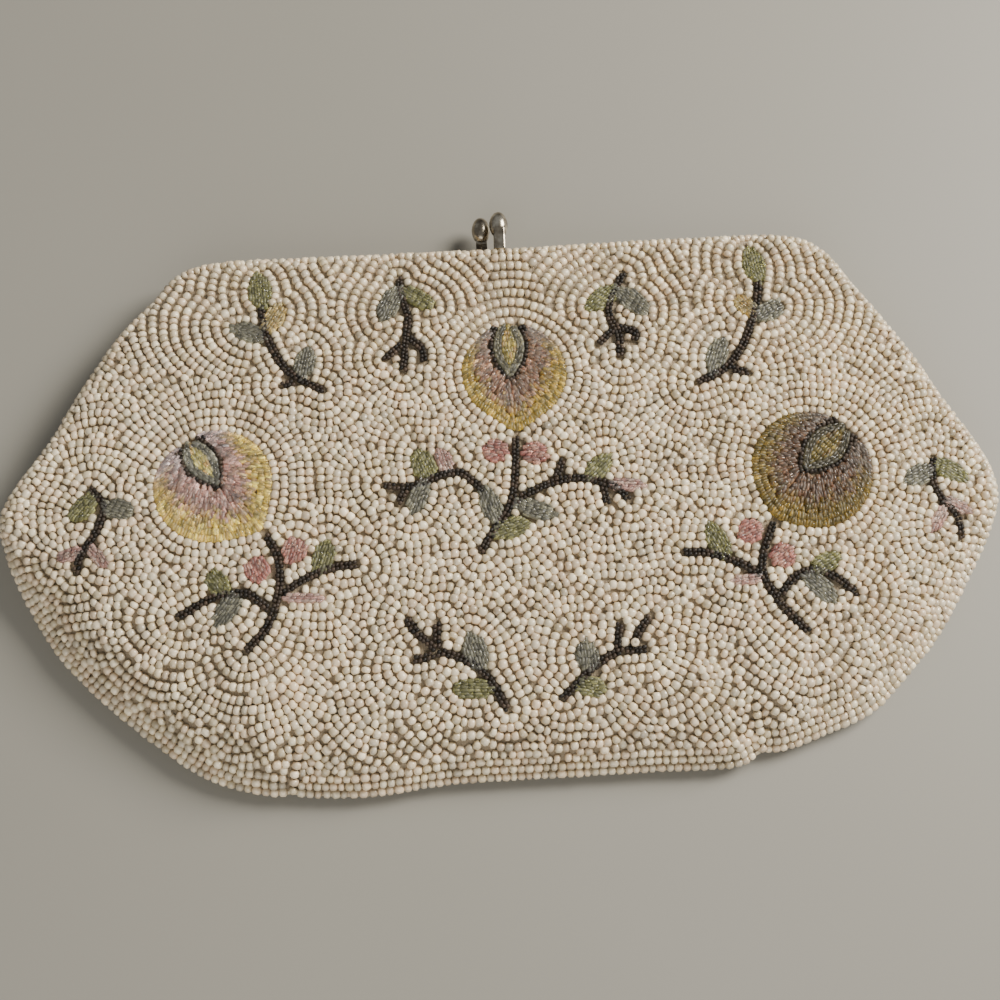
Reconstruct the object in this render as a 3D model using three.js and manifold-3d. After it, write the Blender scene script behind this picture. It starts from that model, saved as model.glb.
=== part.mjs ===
// A beaded evening bag lying on its back. Millimetres, +X along its width, +Y to its mouth, +Z up.
// Two beaded cloth walls meet rim to rim round a hidden hinged frame with a two-knob clasp.
// Flowers, sprays and buds of finer beads lie on the front wall as low pads.
import * as THREE from 'three';
import { mergeVertices } from 'three/addons/utils/BufferGeometryUtils.js';
import Module from 'manifold-3d';

const wasm = await Module();
wasm.setup();

// Clearance between two pieces that touch
const GAP = 0.3;

// Cloth walls: the seam is the plane where the two rims meet
const WALL = 2;
const SEAM_Z = 6.5;
const EDGE_RUN = 7;
const EDGE_POWER = 2.6;
const FRONT_EDGE_RISE = 6;
const BACK_EDGE_DROP = SEAM_Z - GAP / 2;
const THIN_RUN = 12;
const THIN_FROM_Y = 2;
const THIN_TO_Y = -25;
const DOME_RISE = 4.5;
const DOME_REACH = 20;

// Outline seen from the front, clockwise from the left end of the mouth.
// The left side of the bag slumps out further than the right one.
const OUTLINE = [
  { at: 'mouth_left', x: -73, y: 65 },
  { at: 'mouth_left_of_clasp', x: -42, y: 66.5 },
  { at: 'mouth_clasp', x: 0, y: 67.5 },
  { at: 'mouth_right_of_clasp', x: 42, y: 69 },
  { at: 'mouth_right', x: 71.5, y: 68.5 },
  { at: 'shoulder_right', x: 79, y: 64 },
  { at: 'arm_right_top', x: 84.5, y: 55.5 },
  { at: 'arm_right_high', x: 97, y: 35.5 },
  { at: 'arm_right_low', x: 102, y: 25.5 },
  { at: 'arm_right_end', x: 111.5, y: 7.5 },
  { at: 'hinge_right', x: 112.5, y: -1 },
  { at: 'side_right_high', x: 109, y: -10 },
  { at: 'side_right', x: 96.5, y: -30.5 },
  { at: 'side_right_low', x: 86.5, y: -41.5 },
  { at: 'corner_right_high', x: 78, y: -50 },
  { at: 'corner_right', x: 68, y: -54.5 },
  { at: 'dart_right_outer', x: 58, y: -58 },
  { at: 'dart_right', x: 52.5, y: -58.5 },
  { at: 'dart_right_inner', x: 48, y: -61 },
  { at: 'bottom_right', x: 28.5, y: -61.5 },
  { at: 'bottom', x: 3.5, y: -62 },
  { at: 'bottom_left', x: -17.5, y: -62.5 },
  { at: 'bottom_left_end', x: -36, y: -64.5 },
  { at: 'dart_left_inner', x: -49, y: -64 },
  { at: 'dart_left', x: -52.5, y: -63.5 },
  { at: 'dart_left_outer', x: -57, y: -63.5 },
  { at: 'corner_left', x: -69.5, y: -60 },
  { at: 'corner_left_high', x: -80, y: -53.5 },
  { at: 'side_left_low', x: -103.5, y: -32.5 },
  { at: 'side_left', x: -113, y: -17.5 },
  { at: 'side_left_high', x: -117.5, y: -6 },
  { at: 'hinge_left', x: -118.5, y: 2 },
  { at: 'arm_left_end', x: -108.5, y: 21 },
  { at: 'arm_left_low', x: -104.5, y: 29.5 },
  { at: 'arm_left_high', x: -94, y: 47 },
  { at: 'arm_left_top', x: -86, y: 56 },
  { at: 'shoulder_left', x: -80.5, y: 61.5 },
];
const SAMPLES_PER_SPAN = 2;

// Soft folds that run up from the darts: each follows a line, raised or sunk by rise
const FOLDS = [
  { from: [-38, -22], to: [-49, -58], width: 7, rise: -1.2 },
  { from: [-60, -26], to: [-57, -56], width: 8, rise: 1 },
  { from: [-74, -30], to: [-66, -52], width: 6, rise: -0.7 },
  { from: [40, -30], to: [50, -54], width: 6, rise: -1 },
  { from: [54, -32], to: [58, -50], width: 7, rise: 0.7 },
];

// Rings of the walls: near the rim at a distance from it, further in as a share of the way to the heart
const HEART = { x: -3, y: 2, shareX: 0.45, shareY: 0.2 };
const OUTER_RIM_RINGS = [0, 0.8, 3, EDGE_RUN];
const INNER_RIM_RINGS = [WALL, WALL + 1.5, EDGE_RUN];
const OUTER_DOME_SHARES = [0.2, 0.42, 0.68, 1];
const INNER_DOME_SHARES = [0.5, 1];
const BACK_SHARES = [0.15];
const INSET_HALVINGS = 30;

// Hidden frame: two flat hoops in the mouth, one above the seam and one below it
const HOOP_INSET = 3.3;
const HOOP_WIDTH = 5;
const HOOP_THICK = 1.6;
const HOOP_CLEAR = 0.2;
const LUG_RADIUS = 3;
const LUG_THICK = 1.2;
const LUG_DROP = 3.4;
const LUG_NECK = 1.5;
const FRONT_LUG_INSET = 1;
const BACK_LUG_INSET = FRONT_LUG_INSET - LUG_THICK - GAP;
const RIVET_RADIUS = 0.9;
const RIVET_HEAD_RADIUS = 1.8;
const RIVET_HEAD_THICK = 0.7;
const HINGE_SIDES = 16;

// Clasp: each knob stands on a tongue that crosses the seam, so that the knobs snap past each other
const TONGUE_WIDTH = 2.7;
const TONGUE_THICK = 1.2;
const TONGUE_START_Y = 60.5;
const TONGUE_BEND_Y = 65.2;
const TONGUE_STEPS = 6;
const KNOB_OFFSET_Z = 1.4;
const KNOBS = {
  front: { x: -5.4, y: 70.2, z: SEAM_Z - KNOB_OFFSET_Z },
  back: { x: -1.1, y: 70.2, z: SEAM_Z + KNOB_OFFSET_Z },
};
const KNOB_PROFILE = [
  [0, 0], [1.1, 0], [1.3, 0.4], [2, 1.4], [2.3, 2.8], [2.2, 4.2], [1.7, 5.4], [0.9, 6.3], [0, 6.6],
];
const KNOB_SIDES = 14;
const CLASP_SLOT = { x: -3.2, width: 8.6, y: 66.5, length: 8, height: 4.8 };

// Beadwork pads on the front wall
const PAD = 0.8;
const PAD_LIFT = 0.5;
const STEM_WIDTH = 2.5;
const STEM_STEP = 4;
const LEAF_DIVISIONS = 3;

// Sprays: stems are smooth lines through their points, leaves run from a stem to their tip
const SPRAYS = [
  {
    name: 'spray_top_left',
    stems: [
      [[-58.5, 50], [-57.5, 43], [-55.5, 38], [-53, 33.5], [-49.5, 30.5], [-44, 27.5]],
      [[-53.5, 29], [-48.5, 30]],
    ],
    leaves: [
      { base: [-58.5, 49.5], tip: [-59.5, 59.5], width: 5 },
      { base: [-57.5, 43], tip: [-53.5, 50.5], width: 4.5 },
      { base: [-57, 41], tip: [-65.5, 45], width: 4.5 },
      { base: [-49, 30.5], tip: [-47.5, 38.5], width: 4.5 },
    ],
  },
  {
    name: 'spray_top_middle_left',
    stems: [
      [[-26, 57], [-25, 50.5], [-24, 45.5], [-24.5, 41], [-25.5, 31.5]],
      [[-24.5, 41], [-26, 38.5], [-29.5, 35]],
      [[-24.5, 41], [-21, 37.5], [-20.5, 34]],
    ],
    leaves: [
      { base: [-25.8, 55], tip: [-30.5, 45], width: 4.5 },
      { base: [-25.5, 54], tip: [-17.5, 48.5], width: 4 },
    ],
  },
  {
    name: 'spray_top_middle_right',
    stems: [
      [[28, 56.5], [26, 52.5], [24, 47.5], [24, 43.5], [25.5, 40.5], [25.5, 33.5]],
      [[25.3, 41], [24, 40.5], [20.5, 37]],
      [[25, 41.5], [27.5, 41], [29.5, 40], [29, 37.5]],
    ],
    leaves: [
      { base: [26.3, 53], tip: [18.5, 46.5], width: 4.5 },
      { base: [26, 52.5], tip: [33, 45], width: 5 },
    ],
  },
  {
    name: 'spray_top_right',
    stems: [
      [[60.5, 53], [59.5, 48], [58.5, 44.5], [55, 36.5], [50, 30], [43, 26.5]],
      [[50.5, 30], [55.5, 28.5]],
    ],
    leaves: [
      { base: [60.5, 52.5], tip: [59.5, 63], width: 5 },
      { base: [58.5, 44], tip: [54.5, 49], width: 4 },
      { base: [58, 42.5], tip: [66, 47], width: 4.5 },
      { base: [46.5, 28.5], tip: [50, 38], width: 4.5 },
    ],
  },
  {
    name: 'spray_side_left',
    stems: [
      [[-97, 6], [-94.5, 3], [-93.5, 1], [-95, -4.5], [-98.5, -10], [-99.5, -13.5]],
    ],
    leaves: [
      { base: [-95.5, 4.5], tip: [-101, -2], width: 4.5 },
      { base: [-94, 2], tip: [-86.5, -1], width: 4.5 },
      { base: [-97.5, -8.5], tip: [-104, -10], width: 2.5 },
      { base: [-96.5, -7.5], tip: [-92.5, -13], width: 2.5 },
    ],
  },
  {
    name: 'spray_flower_left',
    stems: [
      [[-57, -7.3], [-54.5, -12], [-54, -19], [-56.5, -28], [-61.5, -33.5]],
      [[-54.2, -22], [-51.5, -19.5], [-43.5, -15.5], [-37, -14.5]],
      [[-55.5, -25], [-59, -22], [-61.5, -20.5], [-68.5, -21], [-76.5, -25]],
    ],
    leaves: [
      { base: [-65.5, -20.8], tip: [-69.5, -15], width: 4.5 },
      { base: [-63, -20.7], tip: [-68, -27], width: 4.5 },
      { base: [-45.5, -16.5], tip: [-43, -9], width: 4.5 },
      { base: [-53.5, -21.8], tip: [-44, -22], width: 2 },
    ],
  },
  {
    name: 'spray_flower_centre',
    stems: [
      [[0, 14.3], [-0.5, 6.5], [-2, -2], [-6, -8], [-9, -12.5]],
      [[-8, 1.5], [-13, 6], [-16, 6], [-25, 3], [-30.5, 3.5]],
      [[-25, 3], [-27.5, -1]],
      [[-2, -2], [2, 0.5], [10, 3.5], [16, 3.5], [22.5, 1], [25, -2]],
      [[8.5, 3.3], [10.5, 8.5]],
      [[19, 2.8], [20, -2.5]],
    ],
    leaves: [
      { base: [-20, 4.5], tip: [-23, 12], width: 5 },
      { base: [-15.5, 6], tip: [-17.5, 12], width: 3.5 },
      { base: [-21, 4.5], tip: [-24.5, -3.5], width: 4 },
      { base: [-5, -6.5], tip: [-8, 2.5], width: 4.5 },
      { base: [-1.5, -1.5], tip: [8.5, -5], width: 4 },
      { base: [-6.5, -9], tip: [2, -6], width: 4.5 },
      { base: [15.5, 3.5], tip: [21.5, 9], width: 4.5 },
      { base: [20.5, 2.2], tip: [29, 1.5], width: 2.5 },
    ],
  },
  {
    name: 'spray_flower_right',
    stems: [
      [[57.5, -8], [54.5, -15.5], [54, -20], [57, -26.5], [63, -33.5]],
      [[54, -20.5], [47, -16.5], [42.5, -15], [36.5, -14.5]],
      [[56.8, -26], [59.5, -22.5], [62, -20.5], [66, -19.5], [70, -21], [75, -25]],
    ],
    leaves: [
      { base: [46, -16], tip: [42.5, -8], width: 4.5 },
      { base: [54, -21], tip: [46.5, -21.5], width: 2 },
      { base: [65, -19.7], tip: [72, -16], width: 4 },
      { base: [63, -20], tip: [70.5, -27], width: 4.5 },
    ],
  },
  {
    name: 'spray_side_right',
    stems: [
      [[97, 7], [96, 1.5], [97.5, -3], [101, -7], [102, -12]],
    ],
    leaves: [
      { base: [96.5, 4.5], tip: [89, 0.5], width: 4.5 },
      { base: [97, 6], tip: [104.5, 1.5], width: 4.5 },
      { base: [97.7, -3.3], tip: [105, -6], width: 2.5 },
      { base: [98.5, -4.5], tip: [94.5, -11], width: 2.5 },
    ],
  },
  {
    name: 'spray_bottom_left',
    stems: [
      [[-4.5, -48], [-9.5, -40], [-13.5, -37], [-20, -34.5]],
      [[-20, -34.5], [-24.5, -30], [-26, -27.5]],
      [[-19.7, -34.5], [-19.5, -28.5]],
      [[-18.5, -35], [-22, -36], [-25, -36.5]],
    ],
    leaves: [
      { base: [-10, -39.5], tip: [-12.5, -31], width: 5 },
      { base: [-7.5, -43.5], tip: [-17, -43], width: 4 },
    ],
  },
  {
    name: 'spray_bottom_right',
    stems: [
      [[7.5, -46], [15.5, -39], [20, -36.5], [26.5, -36]],
      [[20, -36.5], [21, -30]],
      [[23.5, -36], [25.5, -31.5], [28, -28.5]],
    ],
    leaves: [
      { base: [13.5, -40.5], tip: [13, -33.5], width: 5 },
      { base: [10.5, -43], tip: [17.5, -44.5], width: 4 },
    ],
  },
];

// Buds beside the flower stems
const BUD = { width: 5, length: 5.8, sides: 10 };
const BUDS = [
  { name: 'bud_flower_left_a', x: -59, y: -15 },
  { name: 'bud_flower_left_b', x: -50.7, y: -11 },
  { name: 'bud_flower_centre_a', x: -5, y: 11 },
  { name: 'bud_flower_centre_b', x: 4.3, y: 10.2 },
  { name: 'bud_flower_right_a', x: 52, y: -10 },
  { name: 'bud_flower_right_b', x: 58.9, y: -16 },
];

// Flowers: round petals with a point at the stem, and a pointed centre that reaches the rim at the tip
const FLOWERS = [
  {
    name: 'flower_left', x: -69, y: 5, radius: 13.2, tip: 127, stem: -45, point: 2,
    centreLength: 14.3, centreWidth: 7,
  },
  {
    name: 'flower_centre', x: 0.4, y: 30.3, radius: 12, tip: 90, stem: -90, point: 2.3,
    centreLength: 11.8, centreWidth: 7.2,
  },
  {
    name: 'flower_right', x: 67.7, y: 4.3, radius: 13.9, tip: 43, stem: 229, point: 0.8,
    centreLength: 16.3, centreWidth: 7.4,
  },
];
const STEM_POINT_SPREAD = 16;
const TIP_POINT = { rise: 0.8, spread: 25 };
const OUTLINE_BAND = 1.6;
const BAND_GAP = 0.55;
const BAND_OPENING = 40;
const PETAL_OPENING = { inner: 66, outer: 31 };
const PETAL_STEPS = 26;
const BAND_STEPS = 18;
const CENTRE_STEPS = 8;
const LENS = { end: 0.12, fullness: 0.8, longer: 1.2 };

// Finishes
const FINISHES = {
  beads: { color: 0xe8dfd0, roughness: 0.5, metalness: 0 },
  metal: { color: 0x9a968c, roughness: 0.35, metalness: 1 },
  leaf: { color: 0x5d6447, roughness: 0.25, metalness: 0 },
  petal: { color: 0xa98a5a, roughness: 0.25, metalness: 0 },
  dark: { color: 0x2a201b, roughness: 0.3, metalness: 0 },
  seed: { color: 0x8b8a5c, roughness: 0.25, metalness: 0 },
  bud: { color: 0x9c6870, roughness: 0.25, metalness: 0 },
};

const bag = new THREE.Group();

function addPiece(name, geometry, finish) {
  const mesh = new THREE.Mesh(geometry, new THREE.MeshStandardMaterial(FINISHES[finish]));
  mesh.name = name;
  bag.add(mesh);
}

// Booleans
function toSolid(geometry) {
  const bare = geometry.clone();
  bare.deleteAttribute('normal');
  bare.deleteAttribute('uv');
  const merged = mergeVertices(bare);
  return new wasm.Manifold(new wasm.Mesh({
    numProp: 3,
    vertProperties: new Float32Array(merged.getAttribute('position').array),
    triVerts: new Uint32Array(merged.index.array),
  }));
}

function toGeometry(solid) {
  const mesh = solid.getMesh();
  const geometry = new THREE.BufferGeometry();
  geometry.setAttribute('position', new THREE.BufferAttribute(mesh.vertProperties, 3));
  geometry.setIndex(new THREE.BufferAttribute(mesh.triVerts, 1));
  geometry.computeVertexNormals();
  return geometry;
}

function joined(geometries) {
  return toGeometry(geometries.map(toSolid).reduce((whole, next) => whole.add(next)));
}

// Outline and the distance of a point from it
const outlineCurve = new THREE.CatmullRomCurve3(
  OUTLINE.map(({ x, y }) => new THREE.Vector3(x, y, 0)), true, 'centripetal',
);
const sampleCount = OUTLINE.length * SAMPLES_PER_SPAN;
const clockwiseRim = Array.from({ length: sampleCount }, (_, i) => {
  const { x, y } = outlineCurve.getPoint(i / sampleCount);
  return new THREE.Vector2(x, y);
});

function distanceToLine(point, from, to) {
  const along = to.clone().sub(from);
  const reach = point.clone().sub(from);
  const share = THREE.MathUtils.clamp(reach.dot(along) / along.lengthSq(), 0, 1);
  return reach.sub(along.multiplyScalar(share)).length();
}

function rimDistance(point) {
  return Math.min(...clockwiseRim.map(
    (from, i) => distanceToLine(point, from, clockwiseRim[(i + 1) % sampleCount]),
  ));
}

// Height round the edge of a wall, 0 at the seam and 1 on the face: full at the mouth, thin at the bottom
function edgeShare(point, distance, start) {
  const left = (run) => 1 - THREE.MathUtils.clamp((distance - start) / (run - start), 0, 1);
  const full = (1 - left(EDGE_RUN) ** EDGE_POWER) ** (1 / EDGE_POWER);
  const thin = 1 - left(THIN_RUN) ** 2;
  return THREE.MathUtils.lerp(thin, full, THREE.MathUtils.smoothstep(point.y, THIN_TO_Y, THIN_FROM_Y));
}

function foldRise(point) {
  return FOLDS.reduce((sum, { from, to, width, rise }) => {
    const away = distanceToLine(point, new THREE.Vector2(...from), new THREE.Vector2(...to)) / width;
    return sum + rise * Math.exp(-away * away);
  }, 0);
}

// The dome starts where the rounded edge ends, and the folds fade in over that edge
function domeRise(point, distance) {
  const inside = Math.max(distance - EDGE_RUN, 0);
  const fade = THREE.MathUtils.smoothstep(distance, WALL, EDGE_RUN);
  return DOME_RISE * (1 - Math.exp(-inside / DOME_REACH)) + fade * foldRise(point);
}

function frontOuter(point) {
  const distance = rimDistance(point);
  return SEAM_Z + GAP / 2 + FRONT_EDGE_RISE * edgeShare(point, distance, 0) + domeRise(point, distance);
}

function frontInner(point) {
  const distance = rimDistance(point);
  const edge = (FRONT_EDGE_RISE - WALL) * edgeShare(point, distance, WALL);
  return SEAM_Z + GAP / 2 + edge + domeRise(point, distance);
}

function backOuter(point) {
  return BACK_EDGE_DROP * (1 - edgeShare(point, rimDistance(point), 0));
}

function backInner(point) {
  return BACK_EDGE_DROP - (BACK_EDGE_DROP - WALL) * edgeShare(point, rimDistance(point), WALL);
}

// Each rim point has a straight way in to the heart of the bag
function heartPoint({ x, y }) {
  return new THREE.Vector2(
    HEART.x + (x - HEART.x) * HEART.shareX,
    HEART.y + (y - HEART.y) * HEART.shareY,
  );
}

function insetPoint(rimPoint, distance) {
  const heart = heartPoint(rimPoint);
  let near = 0;
  let far = 1;
  for (let halving = 0; halving < INSET_HALVINGS; halving++) {
    const middle = (near + far) / 2;
    if (rimDistance(rimPoint.clone().lerp(heart, middle)) < distance) {
      near = middle;
    } else {
      far = middle;
    }
  }
  return distance === 0 ? rimPoint.clone() : rimPoint.clone().lerp(heart, far);
}

const rim = clockwiseRim.slice().reverse();

// Rings of a wall's face from the rim inwards, and the point where they close
function wallFace(distances, shares, height) {
  const lift = (point) => new THREE.Vector3(point.x, point.y, height(point));
  const edgeRings = distances.map((distance) => rim.map((point) => insetPoint(point, distance)));
  const last = edgeRings.at(-1);
  const domeRings = shares.map(
    (share) => last.map((point, i) => point.clone().lerp(heartPoint(rim[i]), share)),
  );
  return {
    rings: [...edgeRings, ...domeRings].map((ring) => ring.map(lift)),
    pole: lift(new THREE.Vector2(HEART.x, HEART.y)),
  };
}

// A closed skin from the pole of its upper face out over the rim to the pole of its lower face
function wallGeometry(upper, lower) {
  const rings = [...upper.rings.slice().reverse(), ...lower.rings];
  const count = sampleCount;
  const points = [upper.pole, ...rings.flat(), lower.pole];
  const lastPole = points.length - 1;
  const faces = [];
  for (let i = 0; i < count; i++) {
    const next = (i + 1) % count;
    faces.push(0, 1 + i, 1 + next);
    for (let ring = 0; ring < rings.length - 1; ring++) {
      const here = 1 + ring * count;
      const there = here + count;
      faces.push(here + i, there + i, there + next, here + i, there + next, here + next);
    }
    const final = 1 + (rings.length - 1) * count;
    faces.push(final + i, lastPole, final + next);
  }
  const geometry = new THREE.BufferGeometry().setFromPoints(points);
  geometry.setIndex(faces);
  return geometry;
}

// Cloth walls, slotted for the tongues of the clasp
function addWalls() {
  const { x, width, y, length, height } = CLASP_SLOT;
  const slot = toSolid(new THREE.BoxGeometry(width, length, height).translate(x, y, SEAM_Z));
  const front = wallGeometry(
    wallFace(OUTER_RIM_RINGS, OUTER_DOME_SHARES, frontOuter),
    wallFace(INNER_RIM_RINGS, INNER_DOME_SHARES, frontInner),
  );
  const back = wallGeometry(
    wallFace(INNER_RIM_RINGS, BACK_SHARES, backInner),
    wallFace(OUTER_RIM_RINGS, BACK_SHARES, backOuter),
  );
  addPiece('front_panel', toGeometry(toSolid(front).subtract(slot)), 'beads');
  addPiece('back_panel', toGeometry(toSolid(back).subtract(slot)), 'beads');
}

// Frame
function mouthPoints() {
  const from = OUTLINE.findIndex(({ at }) => at === 'hinge_left') * SAMPLES_PER_SPAN;
  const to = OUTLINE.findIndex(({ at }) => at === 'hinge_right') * SAMPLES_PER_SPAN;
  return [...clockwiseRim.slice(from), ...clockwiseRim.slice(0, to + 1)];
}

const mouth = mouthPoints();
const hoopOuter = mouth.map((point) => insetPoint(point, HOOP_INSET));
const hoopInner = mouth.map((point) => insetPoint(point, HOOP_INSET + HOOP_WIDTH));

// The two ends of the hoops; side is -1 at the left and 1 at the right
const HINGES = [
  { name: 'hinge_rivet_left', side: -1, end: hoopInner.at(0) },
  { name: 'hinge_rivet_right', side: 1, end: hoopInner.at(-1) },
];

function hoopGeometry(floor) {
  const shape = new THREE.Shape([...hoopOuter, ...hoopInner.slice().reverse()]);
  return new THREE.ExtrudeGeometry(shape, { depth: HOOP_THICK, bevelEnabled: false }).translate(0, 0, floor);
}

// A round lug that hangs below the hoop's end, with the rivet's hole along X
function lugGeometries({ side, end }, inset, floor) {
  const disc = new THREE.Shape().absarc(0, 0, LUG_RADIUS, 0, 2 * Math.PI);
  disc.holes.push(new THREE.Path().absarc(0, 0, RIVET_RADIUS + GAP, 0, 2 * Math.PI, true));
  const x = end.x + side * (inset + LUG_THICK / 2);
  const eye = new THREE.ExtrudeGeometry(disc, {
    depth: LUG_THICK, bevelEnabled: false, curveSegments: HINGE_SIDES / 2,
  });
  eye.translate(0, 0, -LUG_THICK / 2).rotateY(Math.PI / 2).translate(x, end.y - LUG_DROP, SEAM_Z);
  const neckLength = LUG_DROP - RIVET_RADIUS - GAP + LUG_NECK;
  const neck = new THREE.BoxGeometry(LUG_THICK, neckLength, HOOP_THICK);
  neck.translate(x, end.y + LUG_NECK - neckLength / 2, floor + HOOP_THICK / 2);
  return [eye, neck];
}

// A flat tongue that rises from the hoop's height to the knob's
function tongueGeometry({ x, y, z }, hoopZ) {
  const upper = [new THREE.Vector2(TONGUE_START_Y, hoopZ + TONGUE_THICK / 2)];
  const lower = [new THREE.Vector2(TONGUE_START_Y, hoopZ - TONGUE_THICK / 2)];
  for (let step = 0; step <= TONGUE_STEPS; step++) {
    const along = THREE.MathUtils.lerp(TONGUE_BEND_Y, y + TONGUE_THICK, step / TONGUE_STEPS);
    const level = THREE.MathUtils.lerp(hoopZ, z, THREE.MathUtils.smoothstep(along, TONGUE_BEND_Y, y));
    upper.push(new THREE.Vector2(along, level + TONGUE_THICK / 2));
    lower.push(new THREE.Vector2(along, level - TONGUE_THICK / 2));
  }
  const side = new THREE.Shape([...lower, ...upper.reverse()]);
  const tongue = new THREE.ExtrudeGeometry(side, { depth: TONGUE_WIDTH, bevelEnabled: false });
  // The profile's own axes become Y, Z and X
  const axes = new THREE.Matrix4().set(0, 0, 1, x - TONGUE_WIDTH / 2, 1, 0, 0, 0, 0, 1, 0, 0, 0, 0, 0, 1);
  return tongue.applyMatrix4(axes);
}

function knobGeometry({ x, y, z }) {
  const profile = KNOB_PROFILE.map(([radius, along]) => new THREE.Vector2(radius, along));
  return new THREE.LatheGeometry(profile, KNOB_SIDES).translate(x, y, z);
}

function addFrame() {
  const halves = [
    { name: 'frame_front', knob: KNOBS.front, floor: SEAM_Z + HOOP_CLEAR, inset: FRONT_LUG_INSET },
    { name: 'frame_back', knob: KNOBS.back, floor: SEAM_Z - HOOP_CLEAR - HOOP_THICK, inset: BACK_LUG_INSET },
  ];
  for (const { name, knob, floor, inset } of halves) {
    addPiece(name, joined([
      hoopGeometry(floor),
      ...HINGES.flatMap((hinge) => lugGeometries(hinge, inset, floor)),
      tongueGeometry(knob, floor + HOOP_THICK / 2),
      knobGeometry(knob),
    ]), 'metal');
  }
}

// Rivets through both lugs, with a head at each end
function addRivets() {
  const near = BACK_LUG_INSET - GAP;
  const far = FRONT_LUG_INSET + LUG_THICK + GAP;
  const profile = [
    [0, near - RIVET_HEAD_THICK], [RIVET_HEAD_RADIUS, near - RIVET_HEAD_THICK],
    [RIVET_HEAD_RADIUS, near], [RIVET_RADIUS, near],
    [RIVET_RADIUS, far], [RIVET_HEAD_RADIUS, far],
    [RIVET_HEAD_RADIUS, far + RIVET_HEAD_THICK], [0, far + RIVET_HEAD_THICK],
  ].map(([radius, along]) => new THREE.Vector2(radius, along));
  for (const { name, side, end } of HINGES) {
    const rivet = new THREE.LatheGeometry(profile, HINGE_SIDES).rotateZ(-side * Math.PI / 2);
    addPiece(name, rivet.translate(end.x, end.y - LUG_DROP, SEAM_Z), 'metal');
  }
}

// Pads: flat slabs laid over the front wall
function drape(geometry) {
  const position = geometry.getAttribute('position');
  for (let i = 0; i < position.count; i++) {
    const ground = frontOuter(new THREE.Vector2(position.getX(i), position.getY(i)));
    position.setZ(i, position.getZ(i) + ground + PAD_LIFT);
  }
  geometry.computeVertexNormals();
  return geometry;
}

function slab(shape) {
  return new THREE.ExtrudeGeometry(shape, { depth: PAD, bevelEnabled: false, curveSegments: LEAF_DIVISIONS });
}

function stemShape(points) {
  const curve = new THREE.CatmullRomCurve3(points.map(([x, y]) => new THREE.Vector3(x, y, 0)));
  const steps = Math.max(1, Math.round(curve.getLength() / STEM_STEP));
  const left = [];
  const right = [];
  for (let step = 0; step <= steps; step++) {
    const at = curve.getPointAt(step / steps);
    const across = curve.getTangentAt(step / steps).multiplyScalar(STEM_WIDTH / 2);
    left.push(new THREE.Vector2(at.x - across.y, at.y + across.x));
    right.push(new THREE.Vector2(at.x + across.y, at.y - across.x));
  }
  return new THREE.Shape([...right, ...left.reverse()]);
}

function leafShape({ base, tip, width }) {
  const from = new THREE.Vector2(...base);
  const to = new THREE.Vector2(...tip);
  const middle = from.clone().lerp(to, 0.5);
  const across = to.clone().sub(from).normalize().multiplyScalar(width);
  const shape = new THREE.Shape().moveTo(from.x, from.y);
  shape.quadraticCurveTo(middle.x + across.y, middle.y - across.x, to.x, to.y);
  shape.quadraticCurveTo(middle.x - across.y, middle.y + across.x, from.x, from.y);
  return shape;
}

function addSprays() {
  for (const { name, stems, leaves } of SPRAYS) {
    const shapes = [...stems.map(stemShape), ...leaves.map(leafShape)];
    addPiece(name, drape(joined(shapes.map(slab))), 'leaf');
  }
}

function addBuds() {
  for (const { name, x, y } of BUDS) {
    const outline = Array.from({ length: BUD.sides }, (_, i) => {
      const turn = i * 2 * Math.PI / BUD.sides;
      return new THREE.Vector2(x + BUD.width / 2 * Math.cos(turn), y + BUD.length / 2 * Math.sin(turn));
    });
    addPiece(name, drape(slab(new THREE.Shape(outline))), 'bud');
  }
}

// A slab over a grid of plan points: place(along, across) takes shares from 0 to 1
function gridSlab(place, alongSteps, acrossSteps) {
  const points = [];
  const faces = [];
  const width = acrossSteps + 1;
  const level = (alongSteps + 1) * width;
  for (const z of [PAD, 0]) {
    for (let i = 0; i <= alongSteps; i++) {
      for (let j = 0; j <= acrossSteps; j++) {
        const { x, y } = place(i / alongSteps, j / acrossSteps);
        points.push(new THREE.Vector3(x, y, z));
      }
    }
  }
  const quad = (a, b, c, d) => faces.push(a, b, c, a, c, d);
  for (let i = 0; i < alongSteps; i++) {
    for (let j = 0; j < acrossSteps; j++) {
      const a = i * width + j;
      quad(a, a + 1, a + width + 1, a + width);
      quad(level + a, level + a + width, level + a + width + 1, level + a + 1);
    }
  }
  const wall = (a, b) => quad(a, level + a, level + b, b);
  for (let i = 0; i < alongSteps; i++) {
    wall((i + 1) * width, i * width);
    wall(i * width + acrossSteps, (i + 1) * width + acrossSteps);
  }
  for (let j = 0; j < acrossSteps; j++) {
    wall(j, j + 1);
    wall(alongSteps * width + j + 1, alongSteps * width + j);
  }
  const geometry = new THREE.BufferGeometry().setFromPoints(points);
  geometry.setIndex(faces);
  return geometry;
}

// Flowers are worked out in turns from the tip, in a frame whose X axis points at the tip
function flowerFrame({ x, y, tip }) {
  const turn = THREE.MathUtils.degToRad(tip);
  const centre = new THREE.Vector2(x, y);
  const origin = new THREE.Vector2();
  return (along, across) => new THREE.Vector2(along, across).rotateAround(origin, turn).add(centre);
}

function petalRadius({ radius, tip, stem, point }, degrees) {
  const away = (target) => THREE.MathUtils.euclideanModulo(degrees - target + 180, 360) - 180;
  const stemShare = Math.exp(-((away(stem - tip) / STEM_POINT_SPREAD) ** 2));
  const tipShare = Math.exp(-((away(0) / TIP_POINT.spread) ** 2));
  return radius + point * stemShare + TIP_POINT.rise * tipShare;
}

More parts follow.
